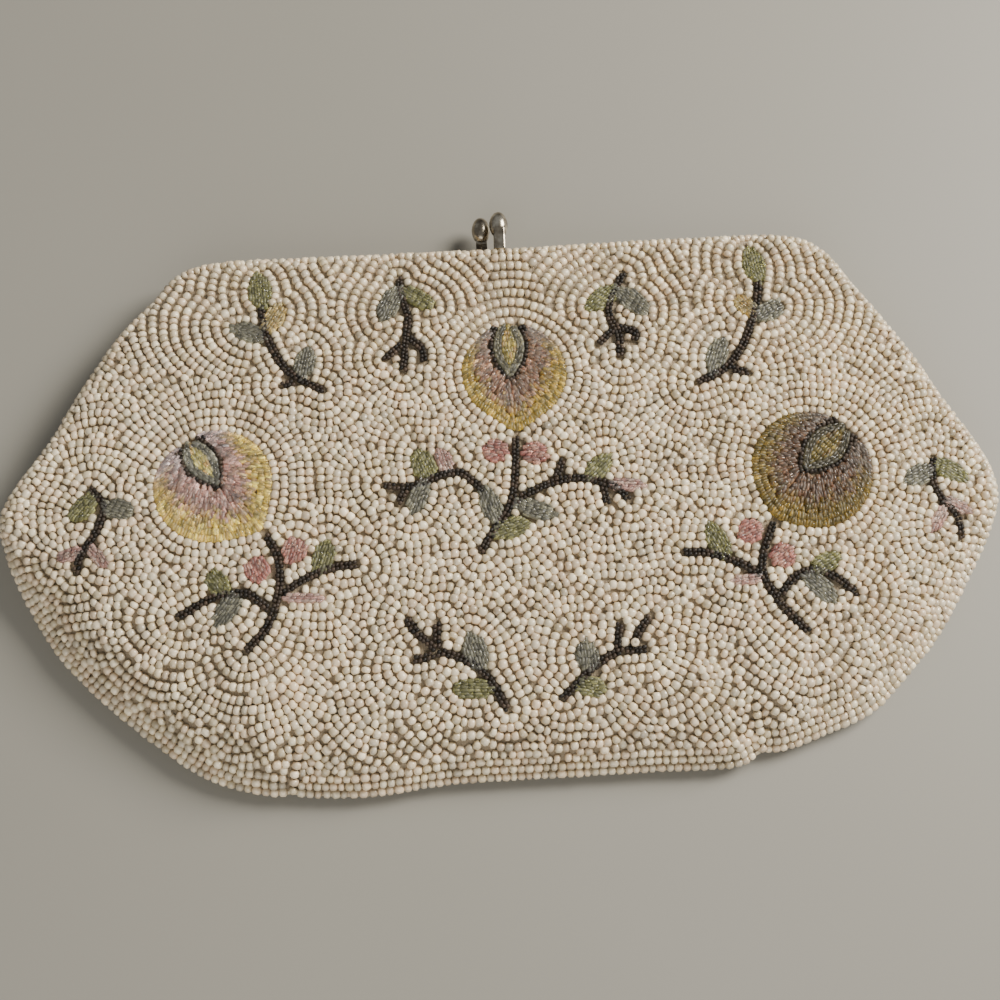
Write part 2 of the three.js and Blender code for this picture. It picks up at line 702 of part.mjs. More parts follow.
function addFlower(flower) {
  const { name, radius, centreLength, centreWidth } = flower;
  const place = flowerFrame(flower);
  const middle = radius + TIP_POINT.rise - centreLength / 2;
  // Half the width of the pointed centre at a share of its length
  const lens = (share) => Math.max(LENS.end, Math.sin(Math.PI * share) ** LENS.fullness);
  const round = (degrees, off) => {
    const along = Math.cos(THREE.MathUtils.degToRad(degrees));
    const side = degrees < 180 ? 1 : -1;
    return place(
      middle + (centreLength / 2 + LENS.longer * off) * along,
      side * (centreWidth / 2 + off) * lens((1 + along) / 2),
    );
  };
  const sweep = (opening, share) => opening + share * (360 - 2 * opening);

  const petals = (along, across) => {
    const inner = round(sweep(PETAL_OPENING.inner, along), BAND_GAP + OUTLINE_BAND + 2 * GAP);
    const degrees = sweep(PETAL_OPENING.outer, along);
    const turn = THREE.MathUtils.degToRad(degrees);
    const reach = petalRadius(flower, degrees);
    return inner.lerp(place(reach * Math.cos(turn), reach * Math.sin(turn)), across);
  };
  const band = (along, across) => round(
    sweep(BAND_OPENING, along), BAND_GAP + OUTLINE_BAND * across,
  );
  const centre = (along, across) => {
    const half = centreWidth / 2 * lens(along);
    return place(middle + centreLength * (along - 0.5), half * (1 - 2 * across));
  };
  addPiece(`${name}_petals`, drape(gridSlab(petals, PETAL_STEPS, 2)), 'petal');
  addPiece(`${name}_outline`, drape(gridSlab(band, BAND_STEPS, 1)), 'dark');
  addPiece(`${name}_centre`, drape(gridSlab(centre, CENTRE_STEPS, 2)), 'seed');
}

addWalls();
addFrame();
addRivets();
addSprays();
addBuds();
FLOWERS.forEach(addFlower);

export default bag;
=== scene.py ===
"""A beaded evening bag that lies on its back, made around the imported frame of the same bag.

Lengths are millimetres here, and become metres where a mesh is made.
White seed beads lie in rows on two cloth walls. Finer dark and clear glass beads make the sprays,
buds and flowers, and two metal knobs close the mouth.
"""
import math
import random

import bmesh
import bpy
import numpy as np
from mathutils import Matrix, Vector
from mathutils.kdtree import KDTree


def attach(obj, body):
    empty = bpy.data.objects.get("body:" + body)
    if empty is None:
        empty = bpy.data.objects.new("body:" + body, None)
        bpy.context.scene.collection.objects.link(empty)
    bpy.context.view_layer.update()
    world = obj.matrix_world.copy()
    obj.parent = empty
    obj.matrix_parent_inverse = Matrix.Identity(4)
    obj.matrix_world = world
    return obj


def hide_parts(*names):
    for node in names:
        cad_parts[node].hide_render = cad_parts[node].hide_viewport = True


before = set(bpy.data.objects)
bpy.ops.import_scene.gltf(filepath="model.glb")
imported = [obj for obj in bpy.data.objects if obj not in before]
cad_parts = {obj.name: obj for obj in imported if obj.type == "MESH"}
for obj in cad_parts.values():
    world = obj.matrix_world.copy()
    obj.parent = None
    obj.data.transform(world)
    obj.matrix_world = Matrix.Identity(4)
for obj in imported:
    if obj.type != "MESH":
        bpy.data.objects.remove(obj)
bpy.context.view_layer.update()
MM = 0.001

# Walls: the seam is the plane where the front wall meets the back wall.
# The walls' edge is full at the mouth and the arms; below it is thin and sinks towards the floor.
SEAM_Z = 6.5
SEAM_GAP = 0.3
EDGE_RUN = 7
EDGE_POWER = 2.6
THIN_RUN = 12
THIN_FROM = 2
THIN_TO = -25
FRONT_RISE = 6
BACK_DROP = SEAM_Z - SEAM_GAP / 2
DROOP = 4
DROOP_RUN = 24
DOME_RISE = 4.5
DOME_REACH = 20
# How finely the slope and the length round the edge are read
SLOPE_REACH = 0.05
RUN_SAMPLES = 300

# Outline from the front, clockwise from the left end of the mouth
OUTLINE = [
    (-73, 63.9), (-42, 65.3), (0, 66.2), (42, 67.7), (71.5, 67.3), (79, 63), (84.2, 55.2), (97, 35.5),
    (102, 25.5), (111.6, 7.5), (113, -1.2), (110, -10.8), (97.7, -31.4), (87.6, -42.4), (78.6, -50.4),
    (68.2, -54.6), (58, -58), (52.5, -58.5), (48, -61), (28.5, -61.5), (3.5, -62), (-17.5, -62.5),
    (-36, -64.5), (-49, -64), (-52.5, -63.5), (-57, -63.5), (-69.5, -60), (-80, -53.5), (-103.5, -32.5),
    (-113, -17.5), (-117.5, -6), (-118.5, 2), (-107.4, 20.6), (-103.2, 28.8), (-92.6, 46.2), (-84.9, 54.7),
    (-80.2, 60.6),
]
OUTLINE_STEPS = 4
HEART = (-3, 2)
HEART_SHARE = (0.45, 0.2)

# Soft folds that run up from the darts: from, to, width, rise
FOLDS = [
    ((-38, -22), (-49, -58), 7, -1.2),
    ((-60, -26), (-57, -56), 8, 1),
    ((-74, -30), (-66, -52), 6, -0.7),
    ((40, -30), (50, -54), 6, -0.8),
    ((54, -32), (58, -50), 7, 0.7),
]
FOLD_START = 2

# Darts: a line of beads stands up along each
DARTS = [((-50, -52.5), (-52.5, -63)), ((50.5, -49), (52.5, -58))]
DART_LIFT = 0.5

# White seed beads
BEAD_PROFILE = [(-0.45, 0), (-0.83, 0.5), (-0.42, 0.97), (0.42, 0.97), (0.83, 0.5), (0.45, 0)]
BEAD_SIDES = 8
BACK_BEAD_PROFILE = [(-0.8, 0), (-0.5, 0.94), (0.5, 0.94), (0.8, 0)]
BACK_BEAD_SIDES = 6
BEAD_RADIUS = 0.96
BEAD_LENGTH = 1.62
BEAD_LENGTH_SPREAD = 0.22
SHORTEST_BEAD = 1.25
LONGEST_BEAD = 2.1
BEAD_GAP = 0.07
BEAD_WIDTHS = (0.94, 1.07)
BEAD_FLATNESS = (0.95, 1.03)
BEAD_WOBBLE = 0.16
BEAD_SHIFT = 0.07
FRONT_JITTER = 0.07
BACK_JITTER = 0.03
ROW_PITCH = 1.98
FIRST_ROW = 0.9
FIRST_RIM_ROW = 0.92
RIM_ROWS = 3
RIM_KEEP = 3
MOST_ROWS = 40
# Size of the beads at the middle, and how it grows with y
FRONT_GROWTH = (1.065, -0.0004)
BACK_GROWTH = (1, 0)
# Rows of the front lie wider apart towards the mouth
FRONT_SPREAD = 0.27
BACK_SPREAD = 0
SPREAD_Y = (28, 50)
# Room that a bead needs when it is laid in a row, fills a gap or is pushed apart
BEAD_ROOM = 1.42
FILL_ROOM = 1.34
RELAX_ROOM = 1.64
RELAX_ROUNDS = 4
RELAX_PARTS = 3
SETTLE_ROUNDS = 2
# The search for a row: tries, the least slope, the miss that passes, the slope where a row ends, and
# the stride over the grid points where a row may start
ROW_TRIES = 3
LEAST_SLOPE = 0.3
ROW_MISS = 0.3
ROW_END_SLOPE = 0.6
START_STRIDE = 2
# Side of the squares by which laid beads are looked up
SQUARE = 2
# Waves that make the rows uneven: way in degrees, length, height; they grow away from the beadwork
# and from the mouth
ROW_WAVES = [(20, 15, 0.4), (75, 11, 0.35), (140, 19, 0.5)]
WAVE_START = 8
CALM_Y = (48, 8)
# Painted shade in the holes: the tint at the bottom of each white bead's end dimple is darkened to this
# share
PAINTED_HOLE_SHADE = 0.3
THIRDS = (-40, 34)
FRONT_SINK = 0.3
BACK_SINK = 0.96
CLOTH_DEPTH = 0.4
CLOTH_THICK = 0.35

# Single white beads sewn on the beadwork with their holes up
LOOSE_BEADS = [(24, -34.6)]
LOOSE_LIFT = 0.75
LOOSE_DULL = 0.3

# Swirls that the plain rows of the back follow
BACK_SWIRLS = [(-66, 12), (-8, 34), (58, 14), (-34, -28), (30, -30), (92, 2), (-100, 0)]

# Dark seed beads of the stems and flower outlines
STEM_PROFILE = [(-0.35, 0), (-0.48, 0.25), (-0.28, 0.5), (0.28, 0.5), (0.48, 0.25), (0.35, 0)]
STEM_SIDES = 6
STEM_PITCH = 1.0
STEM_OFFSET = 0.42
STEM_HALF = 0.85
STEM_LIFT = 0.1
STEM_SHIFT = 0.07
STEM_WOBBLE = 0.2
STEM_ROOM = 0.72
STEM_LENGTHS = (0.85, 1.15)

# Fine glass tubes of the petals, leaves, buds and flower centres: stitched close, they read as one
# clear mass with streaks
GLASS_PROFILE = [(-0.92, 0), (-0.86, 0.26), (-0.65, 0.42), (0.65, 0.42), (0.86, 0.26), (0.92, 0)]
GLASS_SIDES = 6
GLASS_PITCH = 0.66
GLASS_STEP = 1.5
GLASS_LIFT = 0.15
GLASS_LIFT_SPREAD = 0.08
GLASS_WOBBLE = 0.16
GLASS_WIDTHS = (0.85, 1.15)
GLASS_LENGTHS = (0.75, 1.2)
GROUND_PROFILE = [(-1, 0), (-0.7, 0.62), (0.7, 0.62), (1, 0)]
GROUND_LIFT = -0.36
GROUND_WOBBLE = 0.05
STITCH = 2

# Sprays: stems are smooth lines through their points
STEMS = {
    "spray_top_left": [
        [(-58.5, 50), (-57.5, 43), (-55.5, 38), (-53, 33.5), (-49.5, 30.5), (-44, 27.5)],
        [(-53.5, 29), (-48.5, 30)],
    ],
    "spray_top_middle_left": [
        [(-26, 57), (-25, 50.5), (-24, 45.5), (-24.5, 41), (-25.5, 31.5)],
        [(-24.5, 41), (-26, 38.5), (-29.5, 35)],
        [(-24.5, 41), (-21, 37.5), (-20.5, 34)],
    ],
    "spray_top_middle_right": [
        [(28, 56.5), (26, 52.5), (24, 47.5), (24, 43.5), (25.5, 40.5), (25.5, 33.5)],
        [(25.3, 41), (24, 40.5), (20.5, 37)],
        [(25, 41.5), (27.5, 41), (29.5, 40), (29, 37.5)],
    ],
    "spray_top_right": [
        [(60.5, 53), (59.5, 48), (58.5, 44.5), (55, 36.5), (50, 30), (43, 26.5)],
        [(50.5, 30), (55.5, 28.5)],
    ],
    "spray_side_left": [
        [(-97, 6), (-94.5, 3), (-93.5, 1), (-95, -4.5), (-98.5, -10), (-99.5, -13.5)],
    ],
    "spray_flower_left": [
        [(-57, -7.3), (-54.5, -12), (-54, -19), (-56.5, -28), (-61.5, -33.5)],
        [(-54.2, -22), (-51.5, -19.5), (-43.5, -15.5), (-37, -14.5)],
        [(-55.5, -25), (-59, -22), (-61.5, -20.5), (-68.5, -21), (-76.5, -25)],
    ],
    "spray_flower_centre": [
        [(0, 14.3), (-0.5, 6.5), (-2, -2), (-6, -8), (-9, -12.5)],
        [(-8, 1.5), (-13, 6), (-16, 6), (-25, 3), (-30.5, 3.5)],
        [(-25, 3), (-27.5, -1)],
        [(-2, -2), (2, 0.5), (10, 3.5), (16, 3.5), (22.5, 1), (25, -2)],
        [(8.5, 3.3), (10.5, 8.5)],
        [(19, 2.8), (20, -2.5)],
    ],
    "spray_flower_right": [
        [(57.5, -8), (54.5, -15.5), (54, -20), (57, -26.5), (63, -33.5)],
        [(54, -20.5), (47, -16.5), (42.5, -15), (36.5, -14.5)],
        [(56.8, -26), (59.5, -22.5), (62, -20.5), (66, -19.5), (70, -21), (75, -25)],
    ],
    "spray_side_right": [
        [(97, 7), (96, 1.5), (97.5, -3), (101, -7), (102, -12)],
    ],
    "spray_bottom_left": [
        [(-4.5, -48), (-9.5, -40), (-13.5, -37), (-20, -34.5)],
        [(-20, -34.5), (-24.5, -30), (-26, -27.5)],
        [(-19.7, -34.5), (-19.5, -28.5)],
        [(-18.5, -35), (-22, -36), (-25, -36.5)],
    ],
    "spray_bottom_right": [
        [(7.5, -46), (15.5, -39), (20, -36.5), (26.5, -36)],
        [(20, -36.5), (21, -30)],
        [(23.5, -36), (25.5, -31.5), (28, -28.5)],
    ],
}
# Leaves of each spray: base, tip, width, tint
LEAVES = {
    "spray_top_left": [
        ((-58.5, 49.5), (-59.5, 59.5), 5, "green"),
        ((-57.5, 43), (-53.5, 50.5), 4.5, "amber"),
        ((-57, 41), (-65.5, 45), 4.5, "grey"),
        ((-49, 30.5), (-47.5, 38.5), 4.5, "grey"),
    ],
    "spray_top_middle_left": [
        ((-25.8, 55), (-30.5, 45), 4.5, "grey"),
        ((-25.5, 54), (-17.5, 48.5), 4, "green"),
    ],
    "spray_top_middle_right": [
        ((26.3, 53), (18.5, 46.5), 4.5, "green"),
        ((26, 52.5), (33, 45), 5, "grey"),
    ],
    "spray_top_right": [
        ((60.5, 52.5), (59.5, 63), 5, "green"),
        ((58.5, 44), (54.5, 49), 4, "amber"),
        ((58, 42.5), (66, 47), 4.5, "grey"),
        ((46.5, 28.5), (50, 38), 4.5, "grey"),
    ],
    "spray_side_left": [
        ((-95.5, 4.5), (-101, -2), 4.5, "green"),
        ((-94, 2), (-86.5, -1), 4.5, "grey"),
        ((-97.5, -8.5), (-104, -10), 2.5, "pink"),
        ((-96.5, -7.5), (-92.5, -13), 2.5, "pink"),
    ],
    "spray_flower_left": [
        ((-65.5, -20.8), (-69.5, -15), 4.5, "green"),
        ((-63, -20.7), (-68, -27), 4.5, "grey"),
        ((-45.5, -16.5), (-43, -9), 4.5, "green"),
        ((-53.5, -21.8), (-44, -22), 2, "pink"),
    ],
    "spray_flower_centre": [
        ((-20, 4.5), (-23, 12), 5, "green"),
        ((-15.5, 6), (-17.5, 12), 3.5, "pink"),
        ((-21, 4.5), (-24.5, -3.5), 4, "grey"),
        ((-5, -6.5), (-8, 2.5), 4.5, "grey"),
        ((-1.5, -1.5), (8.5, -5), 4, "grey"),
        ((-6.5, -9), (2, -6), 4.5, "green"),
        ((15.5, 3.5), (21.5, 9), 4.5, "green"),
        ((20.5, 2.2), (29, 1.5), 2.5, "pink"),
    ],
    "spray_flower_right": [
        ((46, -16), (42.5, -8), 4.5, "green"),
        ((54, -21), (46.5, -21.5), 2, "pink"),
        ((65, -19.7), (72, -16), 4, "green"),
        ((63, -20), (70.5, -27), 4.5, "grey"),
    ],
    "spray_side_right": [
        ((96.5, 4.5), (89, 0.5), 4.5, "grey"),
        ((97, 6), (104.5, 1.5), 4.5, "green"),
        ((97.7, -3.3), (105, -6), 2.5, "pink"),
        ((98.5, -4.5), (94.5, -11), 2.5, "pink"),
    ],
    "spray_bottom_left": [
        ((-10, -39.5), (-12.5, -31), 5, "grey"),
        ((-7.5, -43.5), (-17, -43), 4, "green"),
    ],
    "spray_bottom_right": [
        ((13.5, -40.5), (13, -33.5), 5, "grey"),
        ((10.5, -43), (17.5, -44.5), 4, "green"),
    ],
}
STEM_STEPS = 6
LEAF_STEPS = 10
LEAF_FULLNESS = 0.65
LEAF_STARTS = (0.1, 1.4)
LEAF_OVERLAP = 0.1

# Buds beside the flower stems
BUD_WIDTH = 5.2
BUD_LENGTH = 5.6
BUD_STEPS = 20
BUD_STARTS = (0.1, 1.3)
BUDS = {
    "bud_flower_left_a": (-59, -15),
    "bud_flower_left_b": (-50.7, -11),
    "bud_flower_centre_a": (-5, 11),
    "bud_flower_centre_b": (4.3, 10.2),
    "bud_flower_right_a": (52, -10),
    "bud_flower_right_b": (58.9, -16),
}

# Flowers: middle, petal radius, way to the tip and to the stem, point at the stem, size of the
# pointed centre, how much of its point the rim cuts off, how far the rim stands out there, how far
# the centre lies to the left of the way to the tip, and the tone of the glass
FLOWERS = {
    "flower_left": {
        "at": (-69, 5), "radius": 13.2, "tip": 124, "stem": -45, "point": 2, "centre": (14.2, 6.8),
        "cut": 1.4, "rise": -0.9, "aside": -1.1, "tone": (1.5, 1.5, 1.68),
    },
    "flower_centre": {
        "at": (0.4, 30.3), "radius": 12, "tip": 90, "stem": -90, "point": 2.3, "centre": (15.7, 7.3),
        "cut": 1.9, "rise": 0.8, "aside": 0.9, "tone": (1.03, 0.98, 0.9),
    },
    "flower_right": {
        "at": (67.7, 4.3), "radius": 13.9, "tip": 43, "stem": 229, "point": 0.8, "centre": (16.4, 8.4),
        "cut": 0.9, "rise": 0.2, "aside": 1.3, "tone": (0.51, 0.45, 0.36),
    },
}
STEM_POINT_SPREAD = 16
TIP_SPREAD = 25
TIP_ROOM = 0.5
FLOWER_STEPS = 72
LENS_END = 0.12
LENS_FULLNESS = 0.8
LENS_LONGER = 1.2
# Rows of the dark band: off the centre, first and last degrees from the tip
BAND_ROWS = [(0.55, 5, 180), (1.5, 5, 66)]
BAND_SIZE = 1.08
BAND_ROOM = 0.7
PETAL_INNER = 1.05
PETAL_OPENING = (46, 22)
PETAL_SAMPLES = 400
PETAL_SHIFT = 0.7
PETAL_CLEAR = GLASS_STEP / 3
# Spread of each glass tube's lightness: partly the glass's own spread, partly painted sparkle
TONE_AND_PAINTED_SPARKLE = 0.24
# Where petal tints change: pale glass near the tip by shares of the way round, gold at the rim by
# shares of the way in, and how softly
PALE_END = 0.12
PALE_SPREAD = 0.03
TIP_END = 0.14
TIP_FADE = 0.08
GOLD_END = 0.28
GOLD_SPREAD = 0.1
GOLD_FADE = 0.3
# Rows of the flower's centre: inset from its outline
CENTRE_ROWS = (0.4, 1.0, 1.6)
CENTRE_INNER = 1.9
CENTRE_ROOM = 0.6 * GLASS_PITCH

# Clasp knobs: the front half's and the back half's
KNOBS = {"frame_front": (-5.4, 70.2, 5.1), "frame_back": (-1.1, 70.2, 7.9)}
KNOB_PROFILE = [
    (0, 0), (1.0, 0.02), (1.25, 0.25), (1.75, 0.9), (2.1, 1.8), (2.28, 2.8), (2.25, 3.7),
    (2.05, 4.6), (1.7, 5.4), (1.2, 6.05), (0.6, 6.45), (0, 6.6),
]
KNOB_SIDES = 32
# A strap in front of the right knob's foot
STRAP_NODE = "frame_back"
STRAP_SIZE = (2.7, 6, 0.9)
STRAP_RISE = -1.2
STRAP_FRONT = 1.5
STRAP_ROUND = 0.25
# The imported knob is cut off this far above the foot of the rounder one
KNOB_CUT = 0.3
# Room that beads leave round the clasp's tongues
TONGUE_HALF = 1.35
CLASP_CLEAR = 1.0
CLASP_FROM_Y = 60
CLASP_HALF_HEIGHT = 2.2
RIVETS = ("hinge_rivet_left", "hinge_rivet_right")

# Seeds of the random draws; each piece of a kind adds its number
SEEDS = {
    "front": 11, "back": 12, "stems": 100, "leaves": 200, "buds": 300, "petals": 400, "outlines": 500,
    "centres": 600,
}


def srgb(*levels):
    """A linear colour from levels of 0 to 255."""
    return tuple(((v / 255 + 0.055) / 1.055) ** 2.4 if v > 10 else v / 255 / 12.92 for v in levels)


def palette(*rows):
    return [srgb(*row) for row in rows]


# Colours of the beads, and how far one strays to lighter or darker
CREAM_SPREAD = 0.15
DARK_SPREAD = 0.3
GLASS_SPREAD = 0.12
PETAL_SPREAD = 0.1
DARKEST = 0.4
CREAMS = palette(
    (233, 216, 185), (225, 205, 173), (211, 195, 161), (237, 223, 191), (217, 196, 165),
    (221, 207, 179),
)
DARKS = palette((46, 38, 30), (36, 31, 25), (58, 47, 37))
LEAF_TINTS = {
    "green": palette((150, 147, 96), (164, 160, 110), (134, 131, 84)),
    "grey": palette((142, 138, 118), (126, 122, 104), (158, 154, 132)),
    "pink": palette((206, 172, 158), (192, 154, 142), (214, 186, 170)),
    "amber": palette((198, 176, 116), (188, 162, 100), (206, 187, 132)),
}
BUD_TINTS = palette((198, 146, 132), (184, 128, 116), (208, 166, 148))
GOLDS = palette((203, 182, 94), (194, 172, 84), (212, 193, 110), (190, 168, 92))
LAVENDERS = palette((184, 152, 132), (168, 136, 118), (196, 168, 150), (164, 136, 112))
PALES = palette((200, 180, 164), (184, 162, 148), (214, 196, 182))
CENTRE_GOLDS = palette((184, 172, 104), (172, 163, 98), (196, 184, 118), (190, 164, 104))
CENTRE_GREENS = palette((133, 130, 108), (118, 115, 95), (147, 144, 122))


def unit(value):
    """A value kept between 0 and 1."""
    return min(max(value, 0), 1)


def between(ends, share):
    """A value at a share of the way from one end to the other."""
    return ends[0] + (ends[1] - ends[0]) * share


def eased(value):
    """A value kept between 0 and 1 that starts and ends softly."""
    share = unit(value)
    return share * share * (3 - 2 * share)


# Lines in the plan
def plan_way(turn):
    return np.array([math.cos(turn), math.sin(turn)])


def left_of(axis):
    return np.array([-axis[1], axis[0]])


def smooth_line(points, steps, closed=False):
    """Points on a smooth line through the given ones."""
    p = np.array(points, float)
    if closed:
        p = np.vstack([p[-1], p, p[:2]])
    else:
        p = np.vstack([2 * p[0] - p[1], p, 2 * p[-1] - p[-2]])
    line = []
    for a, b, c, d in zip(p, p[1:], p[2:], p[3:]):
        before, here, after = (np.linalg.norm(v) ** 0.5 for v in (b - a, c - b, d - c))
        leave = here * ((b - a) / before - (c - a) / (before + here) + (c - b) / here)
        reach = here * ((c - b) / here - (d - b) / (here + after) + (d - c) / after)
        for t in np.arange(steps) / steps:
            bend = (3 * (c - b) - 2 * leave - reach) * t ** 2
            line.append(b + leave * t + bend + (2 * (b - c) + leave + reach) * t ** 3)
    if not closed:
        line.append(p[-2])
    return np.array(line)


def run_up(lengths):
    """How far along a line each of its points is."""
    return np.concatenate([[0], np.cumsum(lengths)])


def spaced(line, pitch, start=0.0):
    """Places at equal steps along a line, with the line's heading there."""
    steps = np.diff(line, axis=0)
    lengths = np.linalg.norm(steps, axis=1)
    reached = run_up(lengths)
    along = np.arange(start, reached[-1], pitch)
    span = np.clip(np.searchsorted(reached, along, side="right") - 1, 0, len(steps) - 1)
    heading = steps[span] / lengths[span][:, None]
    return line[span] + heading * (along - reached[span])[:, None], heading


def beside(line, offset):
    """A line kept at an offset to the left of another."""
    heading = np.gradient(line, axis=0)
    heading /= np.linalg.norm(heading, axis=1)[:, None]
    return line + offset * np.column_stack([-heading[:, 1], heading[:, 0]])


def leaf_half_width(t, width):
    """Half the leaf's width at a share of its length, with full sides and blunt ends."""
    return width / 2 * (4 * t * (1 - t)) ** LEAF_FULLNESS


def leaf_line(base, tip, width):
    """The leaf's edge as a loop."""
    base, tip = np.array(base, float), np.array(tip, float)
    axis = tip - base
    across = left_of(axis) / np.linalg.norm(axis)
    shares = np.linspace(0, 1, LEAF_STEPS + 1)
    side = [base + axis * t + across * leaf_half_width(t, width) for t in shares]
    other = [base + axis * t - across * leaf_half_width(t, width) for t in shares[-2:0:-1]]
    return np.array(side + other)


def bud_line(at):
    turn = np.linspace(0, 2 * math.pi, BUD_STEPS, endpoint=False)
    return np.column_stack([at[0] + BUD_WIDTH / 2 * np.cos(turn), at[1] + BUD_LENGTH / 2 * np.sin(turn)])


def flower_place(flower, along, across):
    """Plan points of a flower from lengths towards its tip and across it."""
    turn = math.radians(flower["tip"])
    x = flower["at"][0] + along * math.cos(turn) - across * math.sin(turn)
    y = flower["at"][1] + along * math.sin(turn) + across * math.cos(turn)
    return np.column_stack([x, y])


def petal_radius(flower, degrees):
    def away(target):
        return (degrees - target + 180) % 360 - 180
    stem = np.exp(-(away(flower["stem"] - flower["tip"]) / STEM_POINT_SPREAD) ** 2)
    tip = np.exp(-(away(0) / TIP_SPREAD) ** 2)
    return flower["radius"] + flower["point"] * stem + flower["rise"] * tip


def petal_rim(flower, degrees):
    reach = petal_radius(flower, degrees)
    turn = np.radians(degrees)
    return flower_place(flower, reach * np.cos(turn), reach * np.sin(turn))


def centre_middle(flower):
    return flower["radius"] + flower["rise"] + flower["cut"] - flower["centre"][0] / 2


def in_flower(flower, at):
    """Whether a place near the tip lies inside the petals' rim."""
    turn = math.radians(flower["tip"])
    along = (at[0] - flower["at"][0]) * math.cos(turn) + (at[1] - flower["at"][1]) * math.sin(turn)
    return along < flower["radius"] + flower["rise"] - TIP_ROOM


def centre_ring(flower, degrees, off):
    """A pointed line round the flower's centre, kept off it."""
    length, width = flower["centre"]
    along = np.cos(np.radians(degrees))
    half = np.maximum(np.sin(math.pi * (1 + along) / 2) ** LENS_FULLNESS, LENS_END)
    side = np.where(np.asarray(degrees) < 180, 1, -1)
    reach = centre_middle(flower) + (length / 2 + LENS_LONGER * off) * along
    return flower_place(flower, reach, flower["aside"] + side * (width / 2 + off) * half)


# Plan grids
GRID_STEP = 0.5
GRID_LOW = (-126, -72)
GRID_COUNT = (492, 300)
GRID_X, GRID_Y = np.meshgrid(
    GRID_LOW[0] + GRID_STEP * np.arange(GRID_COUNT[0]),
    GRID_LOW[1] + GRID_STEP * np.arange(GRID_COUNT[1]),
)
MOTIF_REACH = 34


def line_distance(x, y, line):
    """How far plan points lie from a line."""
    best = np.full(x.shape, np.inf)
    for (ax, ay), (bx, by) in zip(line, line[1:]):
        ux, uy = bx - ax, by - ay
        share = np.clip(((x - ax) * ux + (y - ay) * uy) / (ux * ux + uy * uy), 0, 1)
        best = np.minimum(best, np.hypot(x - ax - share * ux, y - ay - share * uy))
    return best


def signed_distance(x, y, points):
    """Distance from a loop, below 0 inside it."""
    loop = np.vstack([points, points[:1]])
    inside = np.zeros(x.shape, bool)
    for (ax, ay), (bx, by) in zip(loop, loop[1:]):
        if ay != by:
            crosses = (ay > y) != (by > y)
            inside ^= crosses & (x < ax + (y - ay) / (by - ay) * (bx - ax))
    away = line_distance(x, y, loop)
    return np.where(inside, -away, away)


def motif_grid():
    """Distance of each plan point from the nearest spray, bud or flower."""
    best = np.full(GRID_X.shape, 2.0 * MOTIF_REACH)

    def take(points, measure):
        low = (points.min(0) - MOTIF_REACH - GRID_LOW) / GRID_STEP
        high = (points.max(0) + MOTIF_REACH - GRID_LOW) / GRID_STEP
        x0, y0 = np.maximum(low, 0).astype(int)
        x1, y1 = high.astype(int)
        window = (slice(y0, y1), slice(x0, x1))
        best[window] = np.minimum(best[window], measure(GRID_X[window], GRID_Y[window], points))

    def stem_distance(x, y, points):
        return line_distance(x, y, points) - STEM_HALF

    for stem in sum(STEMS.values(), []):
        take(smooth_line(stem, STEM_STEPS), stem_distance)
    for base, tip, width, _ in sum(LEAVES.values(), []):
        take(leaf_line(base, tip, width), signed_distance)
    for at in BUDS.values():
        take(bud_line(at), signed_distance)
    for flower in FLOWERS.values():
        take(petal_rim(flower, np.linspace(0, 360, FLOWER_STEPS, endpoint=False)), signed_distance)
    return best


def row_waves(motifs):
    """Small waves over the plan that make the rows of white beads uneven."""
    total = np.zeros(GRID_X.shape)
    for degrees, length, height in ROW_WAVES:
        way = math.radians(degrees)
        total += height * np.sin((GRID_X * math.cos(way) + GRID_Y * math.sin(way)) * 2 * math.pi / length)
    below = np.clip((CALM_Y[0] - GRID_Y) / (CALM_Y[0] - CALM_Y[1]), 0, 1)
    return total * below * np.clip(motifs / WAVE_START, 0, 1)


def swirl_grid():
    """Distance of each plan point from the nearest swirl of the back's rows."""
    return np.min([np.hypot(GRID_X - x, GRID_Y - y) for x, y in BACK_SWIRLS], axis=0)


class Field:
    """A plan grid, read between its points together with its slope."""

    def __init__(self, values):
        self.values = values
        self.rows = values.tolist()

    def at(self, x, y):
        u = (x - GRID_LOW[0]) / GRID_STEP
        v = (y - GRID_LOW[1]) / GRID_STEP
        i, j = int(u), int(v)
        u -= i
        v -= j
        a, b = self.rows[j][i:i + 2]
        c, d = self.rows[j + 1][i:i + 2]
        value = (a * (1 - u) + b * u) * (1 - v) + (c * (1 - u) + d * u) * v
        slope_x = ((b - a) * (1 - v) + (d - c) * v) / GRID_STEP
        slope_y = ((c - a) * (1 - u) + (d - b) * u) / GRID_STEP
        return value, slope_x, slope_y


RIM_LINE = smooth_line(OUTLINE, OUTLINE_STEPS, closed=True)
RIM = Field(-signed_distance(GRID_X, GRID_Y, RIM_LINE))


# Faces of the walls
def thinness(y):
    """How thin the edge of a wall is: 0 at the mouth and the arms, 1 below."""
    return eased((THIN_FROM - y) / (THIN_FROM - THIN_TO))


def edge_share(y, inset):
    """Height round the edge of a wall: 0 at the seam, 1 on the face."""
    left = 1 - unit(inset / EDGE_RUN)
    full = (1 - left ** EDGE_POWER) ** (1 / EDGE_POWER)
    left = 1 - unit(inset / THIN_RUN)
    return full + (1 - left * left - full) * thinness(y)


def droop(y, inset):
    """How far the walls sink near the lower rim."""
    return DROOP * thinness(y) * max(1 - max(inset, 0) / DROOP_RUN, 0) ** 2


def edge_normal(x, y, drop):
    """The way out of a wall on its edge, for an edge of a given height."""
    inset, in_x, in_y = RIM.at(x, y)
    low, high = max(inset - SLOPE_REACH, 0), max(inset, 0) + SLOPE_REACH
    steep = abs(drop) * (edge_share(y, high) - edge_share(y, low)) / (high - low)
    return Vector((-in_x * steep, -in_y * steep, math.copysign(1, drop))).normalized()


